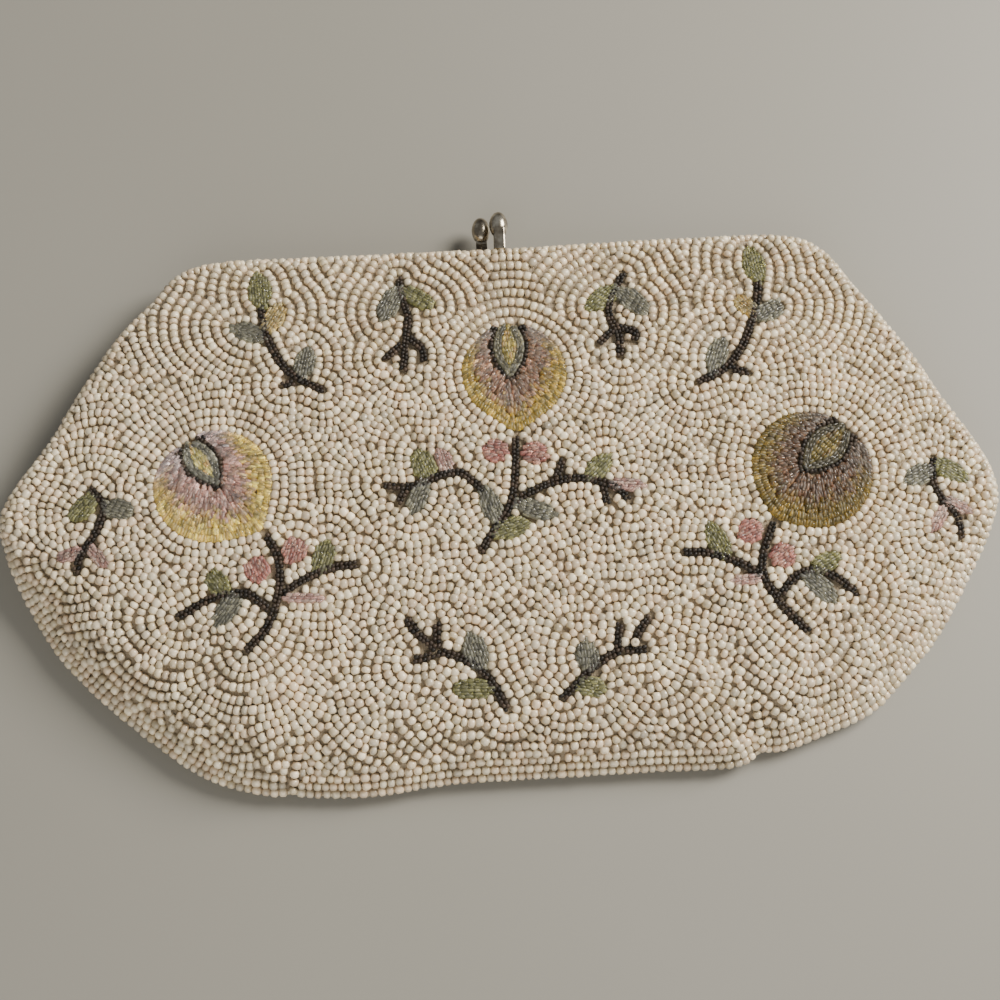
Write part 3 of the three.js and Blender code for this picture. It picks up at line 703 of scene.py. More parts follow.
def fold_rise(x, y):
    total = 0
    for (ax, ay), (bx, by), width, rise in FOLDS:
        ux, uy = bx - ax, by - ay
        share = unit(((x - ax) * ux + (y - ay) * uy) / (ux * ux + uy * uy))
        away = math.hypot(x - ax - share * ux, y - ay - share * uy) / width
        total += rise * math.exp(-away * away)
    return total


def front_height(x, y):
    inset = RIM.at(x, y)[0]
    fade = eased((inset - FOLD_START) / (EDGE_RUN - FOLD_START))
    dome = DOME_RISE * (1 - math.exp(-max(inset - EDGE_RUN, 0) / DOME_REACH))
    edge = FRONT_RISE * edge_share(y, inset)
    return SEAM_Z + SEAM_GAP / 2 + edge + dome + fade * fold_rise(x, y) - droop(y, inset)


def front_face(x, y):
    """A point on the front wall at a plan place, and the way out of the wall there."""
    if RIM.at(x, y)[0] < EDGE_RUN:
        normal = edge_normal(x, y, FRONT_RISE)
    else:
        reach = GRID_STEP
        slope_x = (front_height(x + reach, y) - front_height(x - reach, y)) / (2 * reach)
        slope_y = (front_height(x, y + reach) - front_height(x, y - reach)) / (2 * reach)
        normal = Vector((-slope_x, -slope_y, 1)).normalized()
    return Vector((x, y, front_height(x, y))), normal


def back_face(x, y):
    """A point on the back wall at a plan place, and the way out of the wall there."""
    inset = RIM.at(x, y)[0]
    height = max(BACK_DROP * (1 - edge_share(y, inset)) - droop(y, inset), 0)
    return Vector((x, y, height)), edge_normal(x, y, -BACK_DROP)


def bead_depth(normal, sink):
    """How deep the middle of a white bead lies: at the rim the bead touches the outline from inside."""
    return sink + (BEAD_RADIUS - sink) * (1 - abs(normal.z))


# Insets from the rim at which the edge is read, and the inset of rows that no longer follow it
RUNS = THIN_RUN * np.linspace(0, 1, RUN_SAMPLES) ** 2
FAR_OUT = -THIN_RUN * 10
WHOLLY_THIN = GRID_Y <= THIN_TO


def edge_arcs(rise, y):
    """Length round the edge from the seam to each inset of RUNS."""
    heights = [rise * edge_share(y, run) for run in RUNS]
    return run_up(np.hypot(np.diff(RUNS), np.diff(heights)))


# White beads in rows
class BeadBed:
    """White beads on one wall, laid in rows that follow the rim and the beadwork."""

    def __init__(self, motifs, growth, spread, rise, seed):
        self.growth = growth
        self.spread = spread
        self.motifs = Field((motifs + row_waves(motifs)) / self.scale(GRID_Y) / self.row_spread(GRID_Y))
        self.rise = rise
        self.dice = random.Random(seed)
        self.arcs = [edge_arcs(rise, y) for y in (THIN_FROM, THIN_TO)]
        self.squares = {}
        self.spots = []
        self.lengths = []
        self.ridges = {}

    def rim_insets(self, row):
        """Insets of a row along the rim, where the edge is full and where it is thin."""
        if row >= RIM_ROWS:
            return FAR_OUT, FAR_OUT
        arc = FIRST_RIM_ROW + row * ROW_PITCH
        return [float(np.interp(arc, arcs, RUNS)) for arcs in self.arcs]

    def off_row(self, x, y, insets, reach):
        """How far a place lies inside a row, and the slope there."""
        rim, rim_x, rim_y = RIM.at(x, y)
        motif, motif_x, motif_y = self.motifs.at(x, y)
        inset = between(insets, thinness(y))
        if rim - inset < motif - reach:
            return rim - inset, rim_x, rim_y
        return motif - reach, motif_x, motif_y

    def onto_row(self, x, y, insets, reach):
        """A place moved onto a row, and how far it still misses it."""
        for _ in range(ROW_TRIES):
            off, slope_x, slope_y = self.off_row(x, y, insets, reach)
            steep = max(slope_x ** 2 + slope_y ** 2, LEAST_SLOPE)
            x -= off * slope_x / steep
            y -= off * slope_y / steep
        return x, y, abs(off)

    def scale(self, y):
        """How large the beads are at a height y."""
        return self.growth[0] + self.growth[1] * y

    def row_spread(self, y):
        """How much wider apart the rows lie at a height y."""
        share = np.clip((y - SPREAD_Y[0]) / (SPREAD_Y[1] - SPREAD_Y[0]), 0, 1)
        return 1 + self.spread * share

    def spot(self, x, y):
        return x, y, self.rise * edge_share(y, RIM.at(x, y)[0])

    def square(self, spot):
        return int(spot[0] // SQUARE), int(spot[1] // SQUARE)

    def is_free(self, spot, room):
        room *= self.scale(spot[1])
        column, line = self.square(spot)
        for i in (column - 1, column, column + 1):
            for j in (line - 1, line, line + 1):
                for other in self.squares.get((i, j), ()):
                    if math.dist(spot, other) < room:
                        return False
        return True

    def put(self, spot, length):
        self.squares.setdefault(self.square(spot), []).append(spot)
        self.spots.append(spot)
        self.lengths.append(length)

    def new_length(self):
        return min(max(self.dice.gauss(BEAD_LENGTH, BEAD_LENGTH_SPREAD), SHORTEST_BEAD), LONGEST_BEAD)

    def walk(self, x, y, insets, reach, way, length):
        """Beads one after another along a row, until the row meets other beads."""
        while True:
            _, slope_x, slope_y = self.off_row(x, y, insets, reach)
            steep = math.hypot(slope_x, slope_y)
            if steep < ROW_END_SLOPE or RIM.at(x, y)[0] < 0:
                return
            following = self.new_length()
            step = way * ((length + following) / 2 + BEAD_GAP) * self.scale(y) / steep
            x, y, off = self.onto_row(x - slope_y * step, y + slope_x * step, insets, reach)
            spot = self.spot(x, y)
            if off > ROW_MISS or not self.is_free(spot, BEAD_ROOM):
                return
            self.put(spot, following)
            length = following

    def lay_ridge(self, start, end):
        """A line of beads that stands up along a dart."""
        line = np.array([start, end], float)
        for (x, y), heading in zip(*spaced(line, BEAD_LENGTH + BEAD_GAP)):
            self.ridges[len(self.spots)] = Vector((*heading, 0))
            self.put(self.spot(x, y), BEAD_LENGTH)

    def lay_rows(self):
        for row in range(MOST_ROWS):
            insets, reach = self.rim_insets(row), FIRST_ROW + row * ROW_PITCH
            inset = between(insets, WHOLLY_THIN)
            off = np.minimum(RIM.values - inset, self.motifs.values - reach)
            least = -GRID_STEP if row < RIM_ROWS else GRID_STEP
            near = np.argwhere((np.abs(off) < GRID_STEP) & (RIM.values > least))
            for j, i in near[::START_STRIDE]:
                x, y, off = self.onto_row(GRID_X[j, i], GRID_Y[j, i], insets, reach)
                spot = self.spot(x, y)
                if off < ROW_MISS and self.is_free(spot, BEAD_ROOM):
                    length = self.new_length()
                    self.put(spot, length)
                    self.walk(x, y, insets, reach, 1, length)
                    self.walk(x, y, insets, reach, -1, length)

    def fill_gaps(self):
        """Single beads where rows left room, the widest room first."""
        open_spots = []
        tree = self.tree()
        wanted = (RIM.values > GRID_STEP) & (self.motifs.values > FIRST_ROW)
        for j, i in np.argwhere(wanted):
            spot = self.spot(GRID_X[j, i], GRID_Y[j, i])
            room = tree.find(spot)[2]
            if room > FILL_ROOM * self.scale(spot[1]) * self.row_spread(spot[1]):
                open_spots.append((room, spot))
        for _, spot in sorted(open_spots, reverse=True):
            if self.is_free(spot, FILL_ROOM * self.row_spread(spot[1])):
                self.put(spot, self.new_length())

    def tree(self):
        tree = KDTree(len(self.spots))
        for i, spot in enumerate(self.spots):
            tree.insert(spot, i)
        tree.balance()
        return tree

    def relax(self):
        """Beads that press into each other shift apart, without climbing over the edge."""
        for _ in range(RELAX_ROUNDS):
            tree = self.tree()
            moved = []
            for i, (x, y, z) in enumerate(self.spots):
                push_x = push_y = 0
                room = RELAX_ROOM * self.scale(y)
                for other, j, away in tree.find_range((x, y, z), room):
                    if j != i and away > 0:
                        share = (room - away) / away / RELAX_PARTS
                        push_x += (x - other[0]) * share
                        push_y += (y - other[1]) * share
                inset, in_x, in_y = RIM.at(x, y)
                if inset < RIM_KEEP:
                    climb = push_x * in_x + push_y * in_y
                    push_x -= climb * in_x
                    push_y -= climb * in_y
                x, y = x + push_x, y + push_y
                motif, slope_x, slope_y = self.motifs.at(x, y)
                back = max(FIRST_ROW - motif, 0)
                moved.append(self.spot(x + back * slope_x, y + back * slope_y))
            self.spots = moved
        self.squares = {}
        for spot in self.spots:
            self.squares.setdefault(self.square(spot), []).append(spot)

    def heading(self, x, y):
        """The way that the rows run at a place."""
        rim = RIM.at(x, y)
        reached = [float(np.interp(rim[0], RUNS, arcs)) for arcs in self.arcs]
        past_rim = between(reached, thinness(y)) - FIRST_RIM_ROW
        motif = self.motifs.at(x, y)
        by_rim = past_rim < min((RIM_ROWS - 0.5) * ROW_PITCH, motif[0] - FIRST_ROW)
        slope = rim if by_rim else motif
        return Vector((-slope[2], slope[1], 0))


def in_clasp(x, y, z):
    """Whether a bead of the seam rows would stand in the clasp's tongues."""
    near = min(abs(x - knob[0]) for knob in KNOBS.values()) < TONGUE_HALF + CLASP_CLEAR
    return near and y > CLASP_FROM_Y and abs(z - SEAM_Z) < CLASP_HALF_HEIGHT


# Meshes; bead shapes are in millimetres, other meshes in metres
SAME_POINT_MM = 1e-5
SAME_POINT = 1e-7
ON_AXIS = 1e-4


def spun(bm, points, centre, axis, sides):
    """A line of points turned all the way round an axis."""
    line = [bm.verts.new(point) for point in points]
    edges = [bm.edges.new(pair) for pair in zip(line, line[1:])]
    bmesh.ops.spin(
        bm, geom=line + edges, cent=centre, axis=axis, angle=2 * math.pi, steps=sides, use_merge=True,
    )


def finished(bm, name):
    """A new mesh from a bmesh that is then freed."""
    mesh = bpy.data.meshes.new(name)
    bm.to_mesh(mesh)
    bm.free()
    return mesh


class Shape:
    """A small turned shape that is repeated: its profile runs along X and spins round it."""

    def __init__(self, profile, sides, painted_hole_shade=1.0):
        bm = bmesh.new()
        spun(bm, [(x, 0, r) for x, r in profile], (0, 0, 0), (1, 0, 0), sides)
        bmesh.ops.remove_doubles(bm, verts=bm.verts, dist=SAME_POINT_MM)
        bmesh.ops.recalc_face_normals(bm, faces=bm.faces)
        bmesh.ops.triangulate(bm, faces=bm.faces)
        bm.verts.index_update()
        self.points = np.array([v.co for v in bm.verts])
        # Points on the axis are the bottoms of the hole dimples; their tint gets the painted hole shade
        hole = np.hypot(self.points[:, 1], self.points[:, 2]) < ON_AXIS
        self.shade = np.column_stack([np.where(hole, painted_hole_shade, 1)] * 3 + [np.ones(len(hole))])
        self.corners = np.array([[v.index for v in face.verts] for face in bm.faces])
        bm.free()


def settle(piece, slot, *nodes):
    """The piece moves with the bag and stands for its nodes; the slot is not used."""
    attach(piece, "root")
    if nodes:
        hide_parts(*nodes)
    return piece


def link(thing):
    bpy.context.scene.collection.objects.link(thing)
    return thing


def new_piece(name, mesh, *materials):
    for material in materials:
        mesh.materials.append(material)
    piece = bpy.data.objects.new(name, mesh)
    return link(piece)


def strung(name, parts, *materials):
    """One mesh of many small shapes; parts are (shape, places, turns, tints), each with its material."""
    points, corners, tints, finishes = [], [], [], []
    count = 0
    for index, (shape, places, turns, colours) in enumerate(parts):
        size = len(shape.points)
        spread = np.einsum("nij,vj->nvi", np.array(turns), shape.points) + np.array(places)[:, None]
        points.append(spread.reshape(-1, 3) * MM)
        starts = count + size * np.arange(len(places))
        corners.append((shape.corners[None] + starts[:, None, None]).reshape(-1, 3))
        # Each tint is multiplied by the shape's painted shade, which is 1 except in a white bead's hole
        tints.append((np.array(colours)[:, None] * shape.shade).reshape(-1, 4))
        finishes.append(np.full(len(corners[-1]), min(index, len(materials) - 1)))
        count += size * len(places)
    points, corners, tints, finishes = (np.concatenate(v) for v in (points, corners, tints, finishes))
    mesh = bpy.data.meshes.new(name)
    mesh.vertices.add(len(points))
    mesh.vertices.foreach_set("co", points.ravel())
    mesh.loops.add(corners.size)
    mesh.loops.foreach_set("vertex_index", corners.ravel())
    mesh.polygons.add(len(corners))
    mesh.polygons.foreach_set("loop_start", np.arange(len(corners)) * 3)
    mesh.polygons.foreach_set("use_smooth", np.ones(len(corners), bool))
    mesh.polygons.foreach_set("material_index", finishes)
    mesh.update(calc_edges=True)
    tint = mesh.attributes.new("tint", "FLOAT_COLOR", "POINT")
    tint.data.foreach_set("color", tints.ravel())
    return new_piece(name, mesh, *materials)


def bead_turn(heading, normal, size, dice, wobble):
    """The turn and size of a bead that lies along a heading on a wall."""
    up = (normal + Vector([dice.gauss(0, wobble) for _ in range(3)])).normalized()
    along = heading + Vector((-heading.y, heading.x, 0)) * dice.gauss(0, wobble)
    along = (along - up * along.dot(up)).normalized()
    across = up.cross(along)
    return np.column_stack([along * size[0], across * size[1], up * size[2]])


def shaded(tints, dice, spread):
    """One of the tints, a little lighter or darker, and how dull its glass is."""
    light = max(dice.gauss(1, spread), DARKEST)
    return (*[v * light for v in dice.choice(tints)], dice.random())


# Materials
class Wire:
    """A value in a material's nodes; plain maths on it adds Math nodes."""

    def __init__(self, finish, socket):
        self.finish = finish
        self.socket = socket

    def maths(self, operation, first, second):
        return self.finish.node("ShaderNodeMath", {"operation": operation}, {0: first, 1: second})

    def __add__(self, other):
        return self.maths("ADD", self, other)

    def __sub__(self, other):
        return self.maths("SUBTRACT", self, other)

    def __rsub__(self, other):
        return self.maths("SUBTRACT", other, self)

    def __mul__(self, other):
        return self.maths("MULTIPLY", self, other)

    __radd__ = __add__
    __rmul__ = __mul__


class Finish:
    """A material with one main shader, built up by node()."""

    def __init__(self, name, **constants):
        self.material = bpy.data.materials.new(name)
        self.material.use_nodes = True
        self.tree = self.material.node_tree
        self.shader = self.tree.nodes["Principled BSDF"]
        self.feed(self.shader, constants)

    def feed(self, node, inputs):
        for key, value in inputs.items():
            socket = node.inputs[key.replace("_", " ") if isinstance(key, str) else key]
            if isinstance(value, Wire):
                self.tree.links.new(value.socket, socket)
            else:
                socket.default_value = value

    def node(self, kind, settings=None, inputs=None, output=0):
        made = self.tree.nodes.new(kind)
        for key, value in (settings or {}).items():
            if key == "stops":
                for _ in value[2:]:
                    made.color_ramp.elements.new(0.5)
                for stop, (place, colour) in zip(made.color_ramp.elements, value):
                    stop.position = place
                    stop.color = (*colour, 1)
            else:
                setattr(made, key, value)
        self.feed(made, inputs or {})
        return Wire(self, made.outputs[output])

    def place(self):
        return self.node("ShaderNodeTexCoord", output="Object")

    def noise(self, scale, detail=3.0):
        inputs = {"Vector": self.place(), "Scale": scale, "Detail": detail}
        return self.node("ShaderNodeTexNoise", {}, inputs)

    def mix(self, share, first, second, blend="MIX"):
        settings = {"data_type": "RGBA", "blend_type": blend}
        return self.node("ShaderNodeMix", settings, {0: share, 6: first, 7: second}, output=2)

    def tint(self, output="Color"):
        return self.node("ShaderNodeAttribute", {"attribute_name": "tint"}, output=output)

    def bump(self, height, strength, distance):
        inputs = {"Height": height, "Strength": strength, "Distance": distance}
        return self.node("ShaderNodeBump", {}, inputs)

    def paint(self, **inputs):
        self.feed(self.shader, inputs)
        return self.material


def white_bead_finish():
    finish = Finish("white_bead_glass", Coat_Weight=0.5, Coat_Roughness=0.14, IOR=1.5)
    soil = finish.noise(scale=60)
    soiled = finish.mix(0.3 * soil, finish.tint(), (*srgb(176, 152, 116), 1), "MULTIPLY")
    return finish.paint(Base_Color=soiled, Roughness=0.18 + 0.28 * finish.tint("Alpha"))


def dark_bead_finish():
    finish = Finish("dark_bead_glass", Coat_Weight=0.08, Coat_Roughness=0.25, Specular_IOR_Level=0.25)
    return finish.paint(Base_Color=finish.tint(), Roughness=0.42 + 0.3 * finish.tint("Alpha"))


def clear_bead_finish():
    finish = Finish("clear_bead_glass", Transmission_Weight=0.85, IOR=1.42, Specular_IOR_Level=0.2)
    dull = finish.tint("Alpha")
    clear = finish.node("ShaderNodeGamma", None, {"Color": finish.tint(), "Gamma": 0.55})
    return finish.paint(Base_Color=clear, Roughness=0.45 - 0.4 * (1 - dull) * (1 - dull))


def glass_ground_finish():
    """The lower layer of glass, seen through the upper one."""
    finish = Finish("lower_glass", Roughness=0.6, Specular_IOR_Level=0.3)
    return finish.paint(Base_Color=finish.tint())


def cloth_finish():
    finish = Finish("bead_ground_cloth", Sheen_Weight=0.2)
    weave = []
    for direction in ("X", "Y"):
        settings = {"wave_type": "BANDS", "bands_direction": direction}
        inputs = {"Vector": finish.place(), "Scale": 500.0}
        weave.append(finish.node("ShaderNodeTexWave", settings, inputs, output=1))
    thread = weave[0] * weave[1]
    colour = finish.mix(thread, (*srgb(146, 130, 106), 1), (*srgb(174, 158, 131), 1))
    worn = finish.mix(0.5 * finish.noise(scale=45), colour, (*srgb(132, 117, 95), 1))
    weave_bump = finish.bump(thread, strength=0.5, distance=0.0002)
    return finish.paint(Base_Color=worn, Roughness=0.85, Normal=weave_bump)


def metal_finish():
    finish = Finish("tarnished_nickel", Metallic=1.0)
    patches = finish.noise(scale=420, detail=5.0)
    ramp = finish.node(
        "ShaderNodeValToRGB",
        {"stops": [(0.3, srgb(84, 74, 62)), (0.5, srgb(160, 150, 132)), (0.72, srgb(226, 218, 200))]},
        {"Fac": patches},
    )
    scratches = finish.bump(finish.noise(scale=2600, detail=2.0), strength=0.12, distance=0.0001)
    return finish.paint(Base_Color=ramp, Roughness=0.36 - 0.22 * patches, Normal=scratches)


# Cloth walls: rings at insets from the rim, then at shares of the way to the heart
EDGE_INSETS = [0.35, 0.9, 1.7, 2.8, 4.2, 5.6, 7]
DOME_SHARES = np.linspace(0, 1, 13)[1:]
HALVINGS = 24


def heart_way(point):
    """Where a rim point's straight way in to the heart of the bag ends."""
    return np.array([h + (p - h) * share for p, h, share in zip(point, HEART, HEART_SHARE)])


def inset_point(point, inset):
    """The place on a rim point's way in that lies at an inset from the rim."""
    heart = heart_way(point)
    near, far = 0.0, 1.0
    for _ in range(HALVINGS):
        middle = (near + far) / 2
        if RIM.at(*(point + (heart - point) * middle))[0] < inset:
            near = middle
        else:
            far = middle
    return point + (heart - point) * far


def spot_key(vert):
    return tuple(round(c, 4) for c in vert.co)


def cloth_wall(name, face, sink, node, material):
    """A cloth wall: the rim is drawn in ring by ring to the heart, then given its thickness."""
    def under(x, y):
        place, normal = face(x, y)
        return place - normal * (bead_depth(normal, sink) + CLOTH_DEPTH)

    bm = bmesh.new()
    ring = [bm.verts.new(under(x, y)) for x, y in RIM_LINE]
    edges = [bm.edges.new(pair) for pair in zip(ring, ring[1:] + ring[:1])]
    last = [inset_point(p, EDGE_RUN) for p in RIM_LINE]
    rings = [[inset_point(p, inset) for p in RIM_LINE] for inset in EDGE_INSETS]
    rings += [[p + (heart_way(q) - p) * share for p, q in zip(last, RIM_LINE)] for share in DOME_SHARES]
    for plan in rings:
        grown = bmesh.ops.extrude_edge_only(bm, edges=edges)["geom"]
        edges = [g for g in grown if isinstance(g, bmesh.types.BMEdge) and all(v in grown for v in g.verts)]
        fresh = [g for g in grown if isinstance(g, bmesh.types.BMVert)]
        old = {spot_key(v): i for i, v in enumerate(ring)}
        ring = sorted(fresh, key=lambda v: old[spot_key(v)])
        for vert, (x, y) in zip(ring, plan):
            vert.co = under(x, y)
    bmesh.ops.edgeloop_fill(bm, edges=edges)
    bmesh.ops.triangulate(bm, faces=[f for f in bm.faces if len(f.verts) > 4])
    bmesh.ops.recalc_face_normals(bm, faces=bm.faces)
    if sum(f.normal.z * f.calc_area() for f in bm.faces) * face(*HEART)[1].z < 0:
        bmesh.ops.reverse_faces(bm, faces=bm.faces)
    area = sum(f.calc_area() for f in bm.faces)
    bmesh.ops.solidify(bm, geom=bm.faces, thickness=CLOTH_THICK)
    bmesh.ops.scale(bm, vec=(MM, MM, MM), verts=bm.verts)
    mesh = finished(bm, name)
    mesh.polygons.foreach_set("use_smooth", np.ones(len(mesh.polygons), bool))
    piece = settle(new_piece(name, mesh, material), "white_beads", node)
    area * MM * MM


def white_beads(bed, name, face, shape, sink, jitter, material):
    """The beads of a bed as a left, a middle and a right piece."""
    thirds = {"left": [], "middle": [], "right": []}
    for i, ((x, y, _), length) in enumerate(zip(bed.spots, bed.lengths)):
        ridge = bed.ridges.get(i)
        shift = BEAD_SHIFT if RIM.at(x, y)[0] > RIM_KEEP else 0
        x, y = (v + bed.dice.gauss(0, shift) for v in (x, y))
        place, normal = face(x, y)
        lift = (DART_LIFT if ridge else 0) - bead_depth(normal, sink) - abs(bed.dice.gauss(0, jitter))
        place += normal * lift
        if in_clasp(*place):
            continue
        width = bed.scale(y) * bed.dice.uniform(*BEAD_WIDTHS)
        size = (bed.scale(y) * length / BEAD_LENGTH, width, width * bed.dice.uniform(*BEAD_FLATNESS))
        turn = bead_turn(ridge or bed.heading(x, y), normal, size, bed.dice, BEAD_WOBBLE)
        third = "left" if x < THIRDS[0] else "middle" if x < THIRDS[1] else "right"
        thirds[third].append((place, turn, shaded(CREAMS, bed.dice, CREAM_SPREAD)))
    for third, beads in thirds.items():
        settle(strung(f"{name}_{third}", [(shape, *zip(*beads))], material), "white_beads")


def loose_beads(shape, material):
    places, turns, colours = [], [], []
    for at in LOOSE_BEADS:
        place, normal = front_face(*at)
        side = normal.orthogonal().normalized()
        places.append(place + normal * LOOSE_LIFT)
        turns.append(np.column_stack([normal, side, normal.cross(side)]))
        colours.append((*CREAMS[0], LOOSE_DULL))
    settle(strung("loose_beads", [(shape, places, turns, colours)], material), "white_beads")


# Sprays, buds and flowers
class Thread:
    """Fine beads laid on the front wall for one piece."""

    def __init__(self, seed):
        self.dice = random.Random(seed)
        self.rows = {}

    def lay(self, shape, at, heading, size, tint, lift, wobble):
        place, normal = front_face(at[0], at[1])
        turn = bead_turn(Vector((heading[0], heading[1], 0)), normal, size, self.dice, wobble)
        self.rows.setdefault(id(shape), (shape, [], [], []))
        for column, value in zip(self.rows[id(shape)][1:], (place + normal * lift, turn, tint)):
            column.append(value)

    def is_free(self, at, room):
        return all(math.dist(at, p[:2]) > room for row in self.rows.values() for p in row[1])

    def glass(self, at, heading, tint):
        """A clear tube over a lower one of the same tint."""
        thick = self.dice.uniform(*GLASS_WIDTHS)
        lift = GLASS_LIFT + self.dice.gauss(0, GLASS_LIFT_SPREAD)
        size = (self.dice.uniform(*GLASS_LENGTHS), thick, thick)
        self.lay(GLASS_BEAD, at, heading, size, tint, lift, GLASS_WOBBLE)
        self.lay(GROUND_BEAD, at, heading, (1, 1, 1), (*tint[:3], 1), GROUND_LIFT, GROUND_WOBBLE)

    def piece(self, name, materials, slot, *nodes):
        settle(strung(name, list(self.rows.values()), *materials), slot, *nodes)


STEM_BEAD = Shape(STEM_PROFILE, STEM_SIDES)
GLASS_BEAD = Shape(GLASS_PROFILE, GLASS_SIDES)
GROUND_BEAD = Shape(GROUND_PROFILE, GLASS_SIDES)


def lay_stem_row(thread, line, start, size=1.0, inside=lambda at: True):
    for at, heading in zip(*spaced(line, STEM_PITCH * size, start)):
        if inside(at) and thread.is_free(at, STEM_ROOM * size):
            length = size * thread.dice.uniform(*STEM_LENGTHS)
            at = at + [thread.dice.gauss(0, STEM_SHIFT), thread.dice.gauss(0, STEM_SHIFT)]
            tint = shaded(DARKS, thread.dice, DARK_SPREAD)
            thread.lay(STEM_BEAD, at, heading, (length, size, size), tint, STEM_LIFT, STEM_WOBBLE)


def lane_sides(width):
    """Where glass strings lie side by side across a width."""
    lanes = max(1, round(width / GLASS_PITCH))
    return [(lanes / 2 - lane - 0.5) * GLASS_PITCH for lane in range(lanes)]


def lay_leaf(thread, base, tip, width, tint):
    """Glass strings along a leaf, each as long as the leaf is there."""
    base, tip = np.array(base, float), np.array(tip, float)
    length = np.linalg.norm(tip - base)
    axis = (tip - base) / length
    across = left_of(axis)
    for side in lane_sides(width):
        for along in np.arange(thread.dice.uniform(*LEAF_STARTS), length, GLASS_STEP):
            if leaf_half_width(along / length, width) > abs(side) - LEAF_OVERLAP:
                colour = shaded(LEAF_TINTS[tint], thread.dice, GLASS_SPREAD)
                thread.glass(base + axis * along + across * side, axis, colour)


def make_sprays(glass_materials, dark_material):
    for number, name in enumerate(STEMS):
        stems = Thread(SEEDS["stems"] + number)
        for stem in STEMS[name]:
            line = smooth_line(stem, STEM_STEPS)
            lay_stem_row(stems, beside(line, STEM_OFFSET), STEM_PITCH / 4)
            lay_stem_row(stems, beside(line, -STEM_OFFSET), STEM_PITCH * 3 / 4)
        stems.piece(f"{name}_stems", [dark_material], "dark_beads")
        leaves = Thread(SEEDS["leaves"] + number)
        for leaf in LEAVES[name]:
            lay_leaf(leaves, *leaf)
        leaves.piece(f"{name}_leaves", glass_materials, "leaf_beads", name)


def make_buds(materials):
    """Each bud is a patch of short glass strings side by side."""
    for number, (name, at) in enumerate(BUDS.items()):
        thread = Thread(SEEDS["buds"] + number)
        way = thread.dice.uniform(0, math.pi)
        axis = plan_way(way)
        across = left_of(axis)
        for side in np.arange(-BUD_WIDTH / 2 + GLASS_PITCH / 2, BUD_WIDTH / 2, GLASS_PITCH):
            half = BUD_LENGTH / 2 * math.sqrt(1 - (2 * side / BUD_WIDTH) ** 2)
            for along in np.arange(thread.dice.uniform(*BUD_STARTS) - half, half, GLASS_STEP):
                tint = shaded(BUD_TINTS, thread.dice, GLASS_SPREAD)
                thread.glass(np.array(at) + axis * along + across * side, axis, tint)
        thread.piece(name, materials, "bud_beads", name)


def petal_tint(dice, share, turn_share):
    """Gold at the rim, lavender inside and pale beside the tip."""
    near_tip = min(turn_share, 1 - turn_share)
    inner = PALES if near_tip < PALE_END + dice.gauss(0, PALE_SPREAD) else LAVENDERS
    blend = unit((share + dice.gauss(0, GOLD_SPREAD) - GOLD_END) / GOLD_FADE)
    blend = max(blend, min((TIP_END - near_tip) / TIP_FADE, 1))
    gold = shaded(GOLDS, dice, PETAL_SPREAD)
    other = shaded(inner, dice, PETAL_SPREAD)
    return [g + (o - g) * blend for g, o in zip(gold, other)]


def toned(tint, flower, dice):
    """A tint in the flower's tone, some glass lighter and some darker: partly the glass's own spread,
    partly painted sparkle.
    """
    light = dice.lognormvariate(0, TONE_AND_PAINTED_SPARKLE)
    return [*(v * tone * light for v, tone in zip(tint, flower["tone"])), tint[3]]


def make_petals(name, flower, seed, band, materials):
    thread = Thread(seed)
    shares = np.linspace(0, 1, PETAL_SAMPLES)
    inner_turn, outer_turn = (opening + shares * (360 - 2 * opening) for opening in PETAL_OPENING)
    inner = centre_ring(flower, inner_turn, PETAL_INNER)
    outer = petal_rim(flower, outer_turn)
    reach = np.linalg.norm(inner - outer, axis=1)
    row_step = STITCH * GLASS_STEP
    for row in range(int(reach.max() / row_step) + 1):
        line = outer + (inner - outer) * ((row + 0.5) * row_step / reach)[:, None]
        steps = run_up(np.linalg.norm(np.diff(line, axis=0), axis=1))
        for along in np.arange(GLASS_PITCH * thread.dice.random(), steps[-1], GLASS_PITCH):
            share = float(np.interp(along, steps, shares))
            i = min(int(share * PETAL_SAMPLES), PETAL_SAMPLES - 1)
            inward = (inner[i] - outer[i]) / reach[i]
            start = row * row_step + GLASS_STEP / 2 + (thread.dice.gauss(0, PETAL_SHIFT) if row else 0)
            for depth in start + GLASS_STEP * np.arange(STITCH):
                at = outer[i] + inward * depth
                if PETAL_CLEAR < depth < reach[i] and band.is_free(at, BAND_ROOM):
                    tint = petal_tint(thread.dice, depth / reach[i], share)
                    thread.glass(at, inward, toned(tint, flower, thread.dice))
    thread.piece(f"{name}_petals", materials, "petal_beads", f"{name}_petals")


def make_outline(name, flower, seed, material):
    """The dark band round the flower's centre."""
    thread = Thread(seed)
    for off, first, last in BAND_ROWS:
        degrees = np.linspace(first, last, FLOWER_STEPS)
        for side in (degrees, 360 - degrees):
            line = centre_ring(flower, side, off)
            lay_stem_row(thread, line, 0, BAND_SIZE, lambda at: in_flower(flower, at))
    thread.piece(f"{name}_outline", [material], "dark_beads", f"{name}_outline")
    return thread


